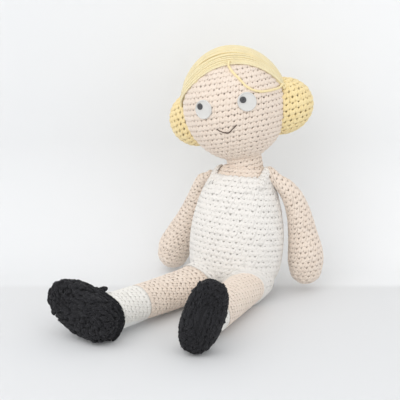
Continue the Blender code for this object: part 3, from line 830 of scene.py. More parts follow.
def moulded_finish(name: str, colour: Colour, other: Colour, scale: float) -> Material:
    """A satin moulded surface, a little uneven in colour and gloss.

    Args:
        name: The material's name.
        colour: Its main colour.
        other: The colour of its faint patches.
        scale: How fine the patches are, a metre.

    Returns:
        The material, made once.
    """
    if name in bpy.data.materials:
        return bpy.data.materials[name]
    material, tree, shader, patches = patchy(name, colour, other, scale, 3)
    least, spread = 0.34, 0.12
    rough = math_node(tree, "ADD", math_node(tree, "MULTIPLY", patches, spread), least)
    fed(tree, shader, {"Roughness": rough})
    return material


def fibre_finish() -> Material:
    """The loose white fibre inside the doll."""
    material, tree, shader, patches = patchy("fibre_filling", (0.9, 0.9, 0.88), (0.78, 0.78, 0.76), 400, 5)
    bumped(tree, shader, patches, 0.4 * MM)
    return material


def piece(
    name: str,
    mesh: Mesh,
    materials: Sequence[Material],
    body: str,
    nodes: Sequence[str] = (),
    follow: Follow | None = None,
) -> None:
    """Hangs a finished mesh on a body; a piece with a second body to follow is baked in place and hung on
    none.

    Args:
        name: The piece's name.
        mesh: Its mesh, in place.
        materials: Its materials, in the order of its faces' indices.
        body: The CAD body that it rides on.
        nodes: The CAD nodes that it stands for.
        follow: A second body that it would turn to follow; where one is given, the piece is only baked in
            place and hangs on no body.
    """
    made = bpy.data.objects.new(name, mesh)
    mesh.materials.clear()
    for material in materials:
        mesh.materials.append(material)
    bpy.context.scene.collection.objects.link(made)
    if follow is None:
        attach(made, body)
    else:
        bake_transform(made)
    if nodes:
        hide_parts(*nodes)
    log.info("%s: %d faces on %s", name, len(mesh.polygons), body)


def crocheted(
    name: str,
    rounds: Rounds,
    lining: BMesh,
    yarn: Yarn,
    body: str,
    nodes: Sequence[str] = (),
    follow: Follow | None = None,
) -> None:
    """Hangs a crocheted piece on a body.

    Args:
        name: The piece's name.
        rounds: Its stitches.
        lining: The closed cloth behind them.
        yarn: Its finish.
        body: As for a piece, like what comes after it.
        nodes: As for a piece.
        follow: As for a piece.
    """
    mesh = pressed(joined(name, lining, rounds.worked()))
    piece(name, mesh, (yarn.worked(), yarn.lining()), body, nodes, follow)


# Body


# Heights and radii of the body, as shares of its height and half width
BODY_PROFILE_SHARES = (
    (0.03, 0.049), (0.033, 0.263), (0.051, 0.51), (0.094, 0.74), (0.155, 0.882),
    (0.23, 0.961), (0.356, 1.0), (0.483, 0.993), (0.598, 0.951), (0.713, 0.872),
    (0.805, 0.786), (0.874, 0.697), (0.931, 0.612), (0.977, 0.533), (1.0, 0.49),
)
# Turns round the body in degrees and heights as shares of the body's, where a shoulder strap runs
STRAP_SHARES = (
    (44, 0.86), (52, 0.90), (60, 0.945), (72, 0.985), (88, 1.0), (104, 0.985), (116, 0.93), (126, 0.86)
)
# How much lower the strap on the doll's right runs
STRAP_LOWER_SHARES = (0, 0, 0.01, 0.02, 0.02, 0.02, 0.01, 0)
# The suit's holes are painted grey as painted shade
SUIT_STITCH = Stitch(
    rise=-0.2 * MM, sink=-0.35 * MM, drift=0.33, jitter=0.05, lumps=0.03 * MM, ridge=-0.08 * MM,
    pit=-1.4 * MM, dark=1.0, flat=0.14,
)


def swollen(profile: Sequence[tuple[float, float]], distance: float) -> list[tuple[float, float]]:
    """A (height, radius) profile moved outward by this distance, square to itself."""
    moved = []
    for i, (height, radius) in enumerate(profile):
        before, after = profile[max(i - 1, 0)], profile[min(i + 1, len(profile) - 1)]
        along = Vector((after[0] - before[0], after[1] - before[1])).normalized()
        moved.append((height - along.y * distance, radius + along.x * distance))
    return moved


@dataclass
class Torso:
    """The stuffed body, its worn suit and the neck.

    Attributes:
        lean: How far it leans back.
        depth_share: Its depth as a share of its width.
        height: From its underside to the shoulders.
        half_width: At its widest.
        bend_share: The share of the height from which it bends towards the neck.
        suit_top: Height of the neckline along the axis.
        suit_over: How far the suit stands over the skin.
        suit_slope: How far its rows rise towards one side.
        arm_hole: Radius that its stitches leave free round a shoulder.
        neck_height: Height of the joint of the neck.
        neck_drift: How far the neck stands to the doll's left.
        neck_radius: Of its column.
        neck_ball: Of the ball at its foot.
        setback: From the foot of the axis back to the middle of the seat.
        strap_half_width: Of the shoulder straps.
        strap_half_thickness: Of the shoulder straps.
        strap_over: How far their middle stands over the skin.
    """

    lean: float = radians(12)
    depth_share: float = 0.86
    height: float = 87.0 * MM
    half_width: float = 30.4 * MM
    bend_share: float = 0.8046
    suit_top: float = 81.8 * MM
    suit_over: float = 1.9 * MM
    suit_slope: float = 2.5 * MM
    arm_hole: float = 7.5 * MM
    neck_height: float = 88.0 * MM
    neck_drift: float = 2.3 * MM
    neck_radius: float = 11.7 * MM
    neck_ball: float = 12.2 * MM
    setback: float = 8.5 * MM
    strap_half_width: float = 2.9 * MM
    strap_half_thickness: float = 1.2 * MM
    strap_over: float = 2.0 * MM

    def __post_init__(self) -> None:
        """Works out the body's directions and its foot."""
        self.axis = Vector((0, sin(self.lean), cos(self.lean)))
        self.back = Vector((0, cos(self.lean), -sin(self.lean)))
        self.profile = [(h * self.height, w * self.half_width) for h, w in BODY_PROFILE_SHARES]
        self.suit_profile = swollen(self.profile, GAP / self.depth_share + self.suit_over)
        drop = min(h * cos(self.lean) - r * self.depth_share * sin(self.lean) for h, r in self.suit_profile)
        self.foot = Vector((0, -self.setback, -SEAT_CUT - drop))

    def point(self, outward: float, back: float, height: float) -> Vector:
        """A point in the body's own directions."""
        start = self.bend_share * self.height
        share = max(0.0, (height - start) / (self.neck_height - start))
        shift = self.neck_drift * share**2
        return self.foot + X_AXIS * (outward + shift) + self.back * back + self.axis * height

    def rings(self, profile: Sequence[tuple[float, float]]) -> list[Ring]:
        """Rings of a profile, with its lower pole."""
        rows = [(profile[0][0], POLE), *profile]
        return [(self.point(0, 0, h), self.back, X_AXIS, r * self.depth_share, r) for h, r in rows]

    def side(self, turn: float, height: float, distance: float) -> Vector:
        """A point this far outside the skin, at an angle round from the front."""
        profile = swollen(self.profile, distance)
        radius = float(np.interp(height, [h for h, _ in profile], [r for _, r in profile]))
        return self.point(radius * sin(turn), -radius * self.depth_share * cos(turn), height)

    def build(self, head: "Head") -> None:
        """Makes the body, the suit, its straps and the neck."""
        self.build_skin()
        self.build_suit()
        self.build_straps()
        self.build_neck(head)

    def build_skin(self) -> None:
        """The stuffed body, whose stitches show over the neckline."""
        shoulder = (self.height + 0.6 * MM, self.neck_radius + 0.9 * MM)
        form = Form(self.rings([*self.profile, shoulder, (self.height, POLE)]))
        neckline = form.nearest(self.point(0, 0, self.suit_top - 6 * MM))
        top = form.nearest(self.point(0, 0, self.height))
        # The chest's holes get only a little painted shade
        stitch = Stitch(height=3.3 * MM, sink=-0.7 * MM, pit=-0.8 * MM, dark=0.3, flat=0.25)
        rounds = Rounds(form, stitch, neckline, top + 1.2 * MM, 11)
        crocheted("body_crochet", rounds, rounds.lining(48), SKIN, "body", ["body_shell"])

    def build_suit(self) -> None:
        """The suit, pressed flat on the seat and open round the tops of the arms."""
        form = Form(self.rings(self.suit_profile))
        top = form.nearest(self.point(0, 0, self.suit_top))
        shoulders = [FRAME_JOINTS[f"arm_{side.word}_swing"] for side in Side]

        def clear(points: np.ndarray) -> np.ndarray:
            """Says which stitches leave the arms free."""
            distances = [np.linalg.norm(points - place, axis=1) for place in shoulders]
            return np.min(distances, axis=0) > self.arm_hole

        rounds = Rounds(form, SUIT_STITCH, 1.5 * MM, top, 12, clear, slope=self.suit_slope)
        crocheted("suit_crochet", rounds, rounds.lining(200, 0, top, True), SUIT, "body", ["suit"])

    def build_straps(self) -> None:
        """A flat crocheted band over each shoulder."""
        for side in Side:
            lower = side.pick(0, 1)
            rows = zip(STRAP_SHARES, STRAP_LOWER_SHARES)
            shares = [(turn, height - lower * less) for (turn, height), less in rows]
            route = [self.side(radians(side.value * a), h * self.height, self.strap_over) for a, h in shares]
            inside = [self.point(0, 0, (h - 0.25) * self.height) for _, h in shares]
            name = f"suit_strap_{side.word}"
            band = Band(f"{name}_crochet", route, self.strap_half_width, self.strap_half_thickness)
            band.build(inside, SUIT, "body", [name])

    def build_neck(self, head: "Head") -> None:
        """The short stuffed column under the head."""
        joint = self.point(0, 0, self.neck_height)
        rings = dome(joint, -head.up, head.back, head.across, self.neck_ball, (8, 30, 50, 70))
        radius = self.neck_radius
        for rise in (-1, 1.5, 4, 7):
            rings.append((joint + head.up * rise * MM, head.back, head.across, radius, radius))
        form = Form(rings)
        stitch = Stitch(height=3.1 * MM, yarn=1.36 * MM)
        rounds = Rounds(form, stitch, form.length * 0.35, form.length, 13)
        crocheted("neck_crochet", rounds, rounds.lining(40), SKIN, "neck", ["neck"])


BAND_STITCH = Stitch(
    width=2.6 * MM, height=2.9 * MM, yarn=0.9 * MM, rise=-0.1 * MM, sink=-0.5 * MM, drift=0
)


@dataclass
class Band:
    """A flat band of stitches along a route.

    Attributes:
        name: The piece's name.
        route: The middle of the band.
        half_width: Half its width.
        half_thickness: Half its thickness.
        stitch: What it is worked in.
        dark: How much painted shade darkens the cloth between the stitches.
    """

    name: str
    route: Sequence[Vector]
    half_width: float
    half_thickness: float
    stitch: Stitch = BAND_STITCH
    dark: float = 0.1

    def build(self, inside: Sequence[Vector], yarn: Yarn, body: str, nodes: Sequence[str]) -> None:
        """Makes the band.

        Args:
            inside: For each point of the route, the middle of what the band lies on.
            yarn: Its finish.
            body: The body that it rides on.
            nodes: The CAD nodes that it stands for.
        """
        rings: list[Ring] = []
        for i, point in enumerate(self.route):
            along = (self.route[min(i + 1, len(self.route) - 1)] - self.route[max(i - 1, 0)]).normalized()
            out = point - inside[i]
            out = (out - along * out.dot(along)).normalized()
            rings.append((point, along.cross(out), out, self.half_width, self.half_thickness))
        form = Form(rings)
        rounds = Rounds(form, self.stitch, 0.0, form.length, 31)
        crocheted(self.name, rounds, wrapped(form, -0.35 * MM, 16, 40, self.dark), yarn, body, nodes)


# Head


# Outlines of an eye disc and a pupil bead, as shares of their radius and height
EYE_SHARES = (
    (0, 0.72), (0.45, 0.70), (0.78, 0.60), (0.84, 0.66), (0.88, 0.95), (0.93, 1.0), (0.98, 0.78), (1, 0.3),
    (1, -0.3), (0.9, -1.2), (0, -1.3),
)
PUPIL_SHARES = ((0, 0.45), (0.22, 0.5), (0.34, 0.92), (0.6, 1), (0.86, 0.8), (1, 0.45), (1, 0), (0, 0))


def bearing(around: float, up: float) -> tuple[float, float, float]:
    """The direction at this angle round to the doll's left and up, in the head's own directions."""
    return cos(up) * sin(around), -cos(up) * cos(around), sin(up)


@dataclass
class Head:
    """The stuffed head with its hair, buns, eyes and mouth.

    Attributes:
        half_width: Of the egg.
        half_height: Of the egg.
        rise: From the joint of the neck to the middle of the head.
        tilt: To the doll's right.
        nod: Forward.
        turn: To the doll's left.
        hair_offset: Place of the slanted plane that the hair starts at.
        bun_longitude: Of the buns' middles, round from the face.
        bun_latitude: Of the buns' middles.
        bun_centre: From the middle of the head to that of a bun.
        bun_radius: Half the height of a bun.
        bun_sunk: How much nearer to the head the middle of its rows lies.
        eye_radius: Of an eye disc.
        eye_height: Of an eye disc.
        pupil_radius: Of a pupil bead.
        pupil_height: Of a pupil bead.
        strands: How many strands of hair there are.
        strand_points: How many points each of them has.
        strand_radius: Of a strand.
        hair_sweep: From the first strand round to the last.
    """

    half_width: float = 34.9 * MM
    half_height: float = 38.0 * MM
    rise: float = 42.8 * MM
    tilt: float = radians(13)
    nod: float = radians(6)
    turn: float = radians(6)
    hair_offset: float = -8.0 * MM
    bun_longitude: float = radians(110)
    bun_latitude: float = radians(-11)
    bun_centre: float = 36.0 * MM
    bun_radius: float = 19.0 * MM
    bun_sunk: float = 4.0 * MM
    eye_radius: float = 6.4 * MM
    eye_height: float = 1.1 * MM
    pupil_radius: float = 2.15 * MM
    pupil_height: float = 0.95 * MM
    strands: int = 104
    strand_points: int = 44
    strand_radius: float = 0.66 * MM
    hair_sweep: float = radians(205)

    def __post_init__(self) -> None:
        """Works out the head's directions and its middle."""
        self.semi = np.array([self.half_width, self.half_width, self.half_height])
        torso = Torso()
        tilted = Matrix.Rotation(-self.tilt, 3, torso.back) @ Matrix.Rotation(self.nod, 3, X_AXIS)
        body_turn = Matrix((X_AXIS, torso.back, torso.axis)).transposed()
        self.frame = tilted @ body_turn @ Matrix.Rotation(self.turn, 3, UP)
        self.across, self.back, self.up = (self.frame.col[i].copy() for i in range(3))
        self.middle = torso.point(0, 0, torso.neck_height) + self.up * self.rise
        self.hair_normal = Vector((-0.18, 0.846, 0.501)).normalized()

    def at(self, longitude: float, latitude: float, distance: float) -> tuple[Vector, Vector]:
        """A point over the skin.

        Args:
            longitude: Degrees to the doll's left of the face's middle.
            latitude: Degrees up from the middle of the head.
            distance: Height over the skin.

        Returns:
            The point, and the direction square to the skin there.
        """
        outward = Vector(bearing(radians(longitude), radians(latitude)))
        wide, tall = self.half_width, self.half_height
        square = Vector((outward.x / wide, outward.y / wide, outward.z / tall)).normalized()
        place = Vector((outward.x * wide, outward.y * wide, outward.z * tall)) + square * distance
        return self.middle + self.frame @ place, self.frame @ square

    def own(self, points: np.ndarray) -> np.ndarray:
        """World points in the head's own directions, from its middle."""
        return (points - np.array(self.middle)) @ np.array(self.frame)

    def egg(self, grown: float) -> Form:
        """The egg of the head, grown by this much, from its lower pole to its upper one."""
        wide, tall = self.half_width + grown, self.half_height + grown
        return Form(ovoid(self.middle, self.up, self.back, self.across, (tall, wide, wide), 24, POLE / wide))

    def build(self) -> None:
        """Makes the head and everything on it."""
        self.build_skin()
        for side in Side:
            self.build_bun(side)
            self.build_eye(side)
        self.build_hair()
        self.build_stray()
        self.build_mouth()

    def build_skin(self) -> None:
        """The crocheted head, with stitches down to the neck and up to under the hair."""
        form = self.egg(0)

        def bare(points: np.ndarray) -> np.ndarray:
            """Says which stitches the hair leaves bare, and a few rows under it."""
            return self.own(points) @ np.array(self.hair_normal) < self.hair_offset + 6 * MM

        rounds = Rounds(form, Stitch(), 7 * MM, form.length - 2 * MM, 21, bare)
        crocheted("head_crochet", rounds, rounds.lining(72), SKIN, "head", ["head_shell"])

    def build_bun(self, side: Side) -> None:
        """One crocheted bun beside the head, sunk a little into it."""
        reach = side.pick(18.0, 15.5) * MM
        slope = side.pick(radians(15), 0.0)
        outward = self.frame @ Vector(bearing(side.value * self.bun_longitude, self.bun_latitude))
        across = outward.cross(self.up).normalized()
        upright = across.cross(outward)
        middle = self.middle + outward * (self.bun_centre - self.bun_sunk) - upright * (3 * MM * sin(slope))
        inward = -outward * cos(slope) - upright * sin(slope)
        upright = upright * cos(slope) - outward * sin(slope)
        semi = (self.bun_radius, reach + self.bun_sunk, self.bun_radius)
        form = Form(ovoid(middle, upright, inward, across, semi, 20, 0.01))

        def outside(points: np.ndarray) -> np.ndarray:
            """Says which stitches lie outside the head."""
            return np.linalg.norm(self.own(points) / self.semi, axis=1) > 0.97

        stitch = Stitch(width=4.15 * MM, height=3.95 * MM, flat=0.42)
        rounds = Rounds(form, stitch, 1.0 * MM, form.length - 1.0 * MM, 41 + side.value, outside)
        name = f"bun_{side.word}"
        crocheted(f"{name}_crochet", rounds, rounds.lining(48), BUN, "head", [name])

    def bun_foot(self, side: Side) -> np.ndarray:
        """Where the strands end on a bun's side of the head, in the head's own directions."""
        back, lift = side.pick((0.0, 0.0), (radians(8), radians(12)))
        outward = np.array(bearing(side.value * (self.bun_longitude + back), self.bun_latitude + lift))
        return outward / np.linalg.norm(outward / self.semi)

    def hair_route(self, share: float, points: int, stray: float) -> np.ndarray:
        """The way of one strand over the head, in a plane that turns about the line from bun to bun.

        Args:
            share: 0 for the strand at the hairline, 1 for the last one at the nape.
            points: How many points it has.
            stray: How far it lies beside its place.

        Returns:
            Points on the skin, in the head's own directions.
        """
        left, right = self.bun_foot(Side.LEFT), self.bun_foot(Side.RIGHT)
        middle = (left + right) / 2
        across = (left - right) / np.linalg.norm(left - right)
        slant = np.array(self.hair_normal)
        lean = slant @ across
        back = slant - across * lean
        back /= np.linalg.norm(back)
        crown = np.cross(across, back)
        crown *= np.sign(crown[2])
        turn = share * self.hair_sweep
        normal = back * cos(turn) - crown * sin(turn) + across * lean * (1 - share)
        normal /= np.linalg.norm(normal)
        offset = (middle @ slant - self.hair_offset - 0.8 * MM) * (1 - share) ** 1.2 + stray
        chord = across - normal * (across @ normal)
        chord /= np.linalg.norm(chord)
        rise = np.cross(normal, chord)
        rise *= np.sign(rise @ (crown * cos(turn) + back * sin(turn)))
        turns = np.linspace(-0.1, pi + 0.1, points)
        ways = np.outer(np.cos(turns), chord) + np.outer(np.sin(turns), rise)
        tucked = 1 - np.where(turns > pi / 2, 0.9, 0.3) * np.abs(np.cos(turns)) ** 5
        start = middle - np.outer(offset * tucked, normal)
        a = ((ways / self.semi) ** 2).sum(axis=1)
        b = 2 * (ways * start / self.semi**2).sum(axis=1)
        c = ((start / self.semi) ** 2).sum(axis=1) - 1
        return start + ways * ((-b + np.sqrt(b**2 - 4 * a * c)) / (2 * a))[:, None]

    def build_hair(self) -> None:
        """Strands of yarn laid from bun to bun over the head."""
        chance = np.random.default_rng(5)
        count = self.strand_points
        straight = np.zeros((count, 3))
        straight[:, 1] = np.arange(count)
        template = mesh_from(yarn_tube(straight, np.ones(count), 6), "strand")
        flat = points_of(template)
        rows = np.rint(flat[:, 1]).astype(int)
        mesh = copies(template, self.strands)
        placed, tones = [], []
        for k in range(self.strands):
            route = self.hair_route(k / (self.strands - 1), count, chance.normal(0, 0.3) * MM)
            square = unit_rows(route / self.semi**2)
            knots = np.linspace(0, count - 1, 8)
            height = self.strand_radius * (1 + 0.35 * chance.random()) + 0.35 * MM
            wave, sway = (np.interp(np.arange(count), knots, chance.normal(0, 0.2, 8)) * MM for _ in range(2))
            beside = unit_rows(np.cross(unit_rows(np.gradient(route, axis=0)), square))
            route = route + square * (height + wave)[:, None] + beside * sway[:, None]
            radius = self.strand_radius * (0.94 + 0.12 * chance.random())
            local = route[rows] + radius * (beside[rows] * flat[:, :1] - square[rows] * flat[:, 2:])
            placed.append(np.array(self.middle) + local @ np.array(self.frame).T)
            tones.append(np.full(len(flat), chance.random()))
        move_points(mesh, np.vstack(placed))
        set_tone(mesh, np.concatenate(tones))
        mesh = joined("hair_strands", self.hair_cap(), mesh)
        piece("hair_strands", mesh, (HAIR.worked(), HAIR.lining()), "head", ["hair"])

    def hair_cap(self) -> BMesh:
        """The closed cap under the strands, behind the slanted plane of the hairline, with painted shade
        where it shows between the strands.
        """
        # Nearly full painted shade on the cap between the strands
        cap = wrapped(self.egg(0.8 * MM), 0.0, 64, 60, 0.9)
        # In front of this plane the first strands lie on the skin, so the cap goes under it
        fringe, fringe_at, sunk = Vector((0, 0.61, 0.79)), 0.7 * MM, 0.95
        for vert in cap.verts:
            own = self.frame.transposed() @ (vert.co - self.middle)
            if own.y < 0 and own.dot(fringe) < fringe_at:
                vert.co = self.middle + (vert.co - self.middle) * sunk
        normal = (self.frame @ self.hair_normal).normalized()
        cut_at = self.middle + normal * (self.hair_offset + 1.2 * MM)
        whole = [*cap.verts, *cap.edges, *cap.faces]
        found = bmesh.ops.bisect_plane(cap, geom=whole, plane_co=cut_at, plane_no=-normal, clear_outer=True)
        rim = [item for item in found["geom_cut"] if isinstance(item, bmesh.types.BMEdge)]
        bmesh.ops.contextual_create(cap, geom=rim)
        bmesh.ops.recalc_face_normals(cap, faces=cap.faces)
        return cap

    def strand_piece(
        self,
        name: str,
        route: Sequence[tuple[float, float, float]],
        radius: float,
        yarn: Yarn,
        nodes: Sequence[str],
        tone: float,
    ) -> None:
        """A thread over the head.

        Args:
            name: The piece's name.
            route: Rows of longitude and latitude in degrees and height over the skin in millimetres.
            radius: Of the thread.
            yarn: Its finish.
            nodes: The CAD nodes that it stands for.
            tone: Its shade of the yarn.
        """
        points = np.array([self.at(lon, lat, height * MM)[0] for lon, lat, height in smooth_route(route, 6)])
        radii = np.full(len(points), radius)
        radii[[0, -1]] *= 0.5
        mesh = mesh_from(yarn_tube(points, radii, 10), name)
        set_tone(mesh, np.full(len(mesh.vertices), tone))
        piece(name, mesh, (yarn.worked(),), "head", nodes)

    def build_stray(self) -> None:
        """The loose strand over the forehead, knotted at its end, and the stitch that holds the hair."""
        rise = 0.75
        route = [(13.5, 43, 1.6), (15.2, 39, 1.1), (18, 34.4, rise), (23.3, 26.9, rise), (27.1, 20.5, rise)]
        route += [(31.4, 16.2, rise), (37.4, 12.8, rise), (44.3, 10.8, rise), (52.4, 10.0, rise)]
        route += [(63.9, 9.9, rise), (73, 10.2, 1.0), (80, 11.6, 1.5), (84, 12.6, 2.0), (87, 11.0, 2.2)]
        route += [(85.5, 8.6, 2.0), (82.5, 8.4, 1.6), (83, 10.6, 1.4)]
        self.strand_piece("hair_strand_loose", route, 0.8 * MM, HAIR, ["hair_strand"], 1.9)
        tack = [(12.5, 42.2, 1.2), (13.2, 44.5, 2.5), (14, 47, 2.7), (15, 50, 2.2)]
        self.strand_piece("hair_tack_yarn", tack, 0.7 * MM, HAIR, ["hair_tack"], 1.9)

    def build_mouth(self) -> None:
        """The stitched smile."""
        rise = 0.6
        route = [(-13.1, -18.5, 0), (-11.6, -19.6, rise), (-7.8, -21.9, rise), (-3.6, -23.6, rise)]
        route += [(-0.6, -24.1, rise / 2), (0.9, -23.1, rise), (4.8, -20.5, rise), (8.4, -18.2, rise)]
        route += [(10.4, -17.1, 0)]
        self.strand_piece("mouth_stitches", route, 0.34 * MM, MOUTH, ["mouth"], 0.3)

    def build_eye(self, side: Side) -> None:
        """An eye disc and its pupil bead, each turned from an outline in shares of its radius and height."""
        centre, square = self.at(*side.pick((25.5, 4.0), (-23.8, 3.3)), 0.3 * MM)
        name, size = f"eye_{side.word}", (self.eye_radius, self.eye_height)
        disc = turned(f"{name}_disc", EYE_SHARES, size, centre, square, 48)
        white = moulded_finish("eye_disc_white", (0.70, 0.69, 0.665), (0.66, 0.655, 0.635), 140.0)
        piece(disc.name, disc, (white,), "head", [name])
        shifted = self.at(*side.pick((21.3, 6.5), (-27.3, 6.6)), 0)[0] - centre
        shifted -= square * shifted.dot(square)
        bead_at = centre + shifted + square * (0.66 * self.eye_height)
        name, size = f"pupil_{side.word}", (self.pupil_radius, self.pupil_height)
        bead = turned(f"{name}_bead", PUPIL_SHARES, size, bead_at, square, 32)
        black = moulded_finish("pupil_bead_black", (0.05, 0.05, 0.054), (0.08, 0.08, 0.084), 500.0)
        piece(bead.name, bead, (black,), "head", [name])


def unit_rows(rows: np.ndarray) -> np.ndarray:
    """Rows of x, y and z, each at length 1."""
    return rows / np.linalg.norm(rows, axis=1, keepdims=True)


def turned(
    name: str,
    profile: Sequence[tuple[float, float]],
    size: tuple[float, float],
    centre: Vector,
    square: Vector,
    sides: int,
) -> Mesh:
    """A turned piece.

    Args:
        name: The mesh's name.
        profile: Its outline from the top's middle to the bottom's, in shares of its size.
        size: Its radius and its height.
        centre: Where it stands.
        square: The way that it faces.
        sides: Facets round it.

    Returns:
        A closed mesh.
    """
    bm = bmesh.new()
    verts = [bm.verts.new((out * size[0], 0, up * size[1])) for out, up in profile]
    edges = [bm.edges.new(pair) for pair in zip(verts, verts[1:])]
    bmesh.ops.spin(
        bm, geom=[*verts, *edges], cent=(0, 0, 0), axis=(0, 0, 1), angle=2 * pi, steps=sides, use_merge=True
    )
    bmesh.ops.remove_doubles(bm, verts=bm.verts, dist=0.005 * MM)
    bmesh.ops.recalc_face_normals(bm, faces=bm.faces)
    sharp = [edge for edge in bm.edges if len(edge.link_faces) == 2 and edge.calc_face_angle() > 0.6]
    bmesh.ops.bevel(bm, geom=sharp, offset=0.06 * MM, segments=2, profile=0.5, affect="EDGES", material=-1)
    place = Matrix.Translation(centre) @ UP.rotation_difference(square).to_matrix().to_4x4()
    bmesh.ops.transform(bm, matrix=place, verts=bm.verts)
    for face in bm.faces:
        face.smooth = True
    return mesh_from(bm, name)


# Limbs


# Outward, back and down from the shoulder as shares of the arm's drop, and the radius as a share of
# the hand's. The first two rows of each lie in the body.
ARM_ROUTE_SHARES = {
    Side.LEFT: (
        (-0.1, 0.0, -0.158, 0.25), (-0.025, 0.0, -0.07, 0.36),
        (0.073, 0.023, 0.018, 0.492), (0.163, 0.048, 0.151, 0.6), (0.233, 0.064, 0.34, 0.692),
        (0.276, 0.073, 0.55, 0.817), (0.313, 0.073, 0.753, 0.975), (0.323, 0.073, 0.875, 1.017),
        (0.325, 0.073, 0.976, 0.95),
    ),
    Side.RIGHT: (
        (-0.03, -0.01, -0.07, 0.15), (0.0, 0.0, -0.01, 0.28),
        (0.086, 0.063, 0.059, 0.41), (0.146, 0.097, 0.234, 0.567), (0.217, 0.113, 0.425, 0.675),
        (0.301, 0.107, 0.617, 0.783), (0.387, 0.087, 0.794, 0.9), (0.441, 0.07, 0.922, 0.975),
        (0.462, 0.062, 0.999, 0.925),
    ),
}
# The arms' holes are painted darker as painted shade
ARM_STITCH = Stitch(
    width=3.7 * MM, height=3.45 * MM, yarn=1.18 * MM, rise=-0.08 * MM, sink=-0.5 * MM, drift=0.33,
    jitter=0.04, ridge=-0.1 * MM, pit=-1.9 * MM, dark=0.85, flat=0.24,
)


@dataclass
class Arm:
    """A stuffed arm, thin at the shoulder and round at the hand.

    Attributes:
        side: Whose it is.
        height: Of the shoulder along the body's axis.
        ball: Radius at the shoulder.
        drop: What the shares of its route are taken of.
        hand: Radius of the hand.
    """

    side: Side
    height: float = 77.0 * MM
    ball: float = 4.4 * MM
    drop: float = 60.0 * MM
    hand: float = 12.0 * MM

    def place(self, start: Vector, row: tuple[float, float, float, float]) -> Vector:
        """Where a row of the route lies, from the shoulder."""
        outward, back, down, _ = row
        return start + Vector((self.side.value * outward, back, -down)) * self.drop

    def form(self) -> Form:
        """The arm's skin, from the tip of the hand to the shoulder."""
        turn = self.side.value * radians(self.side.pick(93, 100))
        shoulder = Torso().side(turn, self.height, self.ball + GAP)
        route = [(self.place(shoulder, row), row[3] * self.hand) for row in ARM_ROUTE_SHARES[self.side]]
        rings: list[Ring] = []
        across = Vector((0, 1, 0))
        for i, (centre, radius) in enumerate(route):
            along = (route[min(i + 1, len(route) - 1)][0] - route[max(i - 1, 0)][0]).normalized()
            across = (across - along * across.dot(along)).normalized()
            other = along.cross(across)
            if i == 0:
                rings = dome(centre, -along, across, other, radius, (2, 25, 50))
            rings.append((centre, across, other, radius, radius))
        rings += dome(centre, along, across, other, radius, (60, 32, 12, 0.5))
        return Form(rings[::-1])

    def build(self) -> None:
        """Makes the arm, which bends out of the body's side."""
        form = self.form()
        rounds = Rounds(form, ARM_STITCH, 0.8 * MM, form.length - 1.0 * MM, 51 + self.side.value)
        body = f"arm_{self.side.word}"
        joint = Vector(FRAME_JOINTS[f"{body}_swing"])
        follow = (body, self.place(joint, ARM_ROUTE_SHARES[self.side][0]), joint - UP * self.ball)
        lining = rounds.lining(100, holes=True)
        crocheted(f"{body}_crochet", rounds, lining, SKIN, "body", [body], follow)


# Shallow holes with little painted shade
SMOOTH_STITCH = Stitch(
    width=3.7 * MM, height=3.4 * MM, rise=-0.1 * MM, sink=-0.4 * MM, lumps=0.03 * MM, ridge=-0.15 * MM,
    pit=-0.4 * MM, dark=0.1, flat=0.17,
)
# Deep holes, painted darker as painted shade
LEG_STITCH = Stitch(
    width=3.7 * MM, height=3.45 * MM, yarn=1.22 * MM, rise=-0.1 * MM, sink=-0.45 * MM, drift=0.25,
    jitter=0.04, ridge=-0.1 * MM, pit=-1.6 * MM, dark=0.65, flat=0.22,
)
STRAP_STITCH = Stitch(
    width=2.6 * MM, height=2.7 * MM, yarn=0.9 * MM, rise=-0.1 * MM, drift=0.1, jitter=0.1, lumps=0.15 * MM,
    fuzz=0.1 * MM, flat=0.8,
)
# Height, half length, half width and forward place of the shoe's rows, as shares of the shoe's sizes
SHOE_PROFILE_SHARES = (
    (0.0, 0.652, 0.52, 1.0), (0.053, 0.889, 0.833, 1.0), (0.182, 0.98, 0.973, 1.0),
    (0.4, 1.0, 1.0, 0.993), (0.629, 0.953, 0.993, 0.91), (0.8, 0.838, 0.98, 0.71),
    (0.924, 0.704, 0.967, 0.421), (1.0, 0.609, 0.953, 0.166),
)


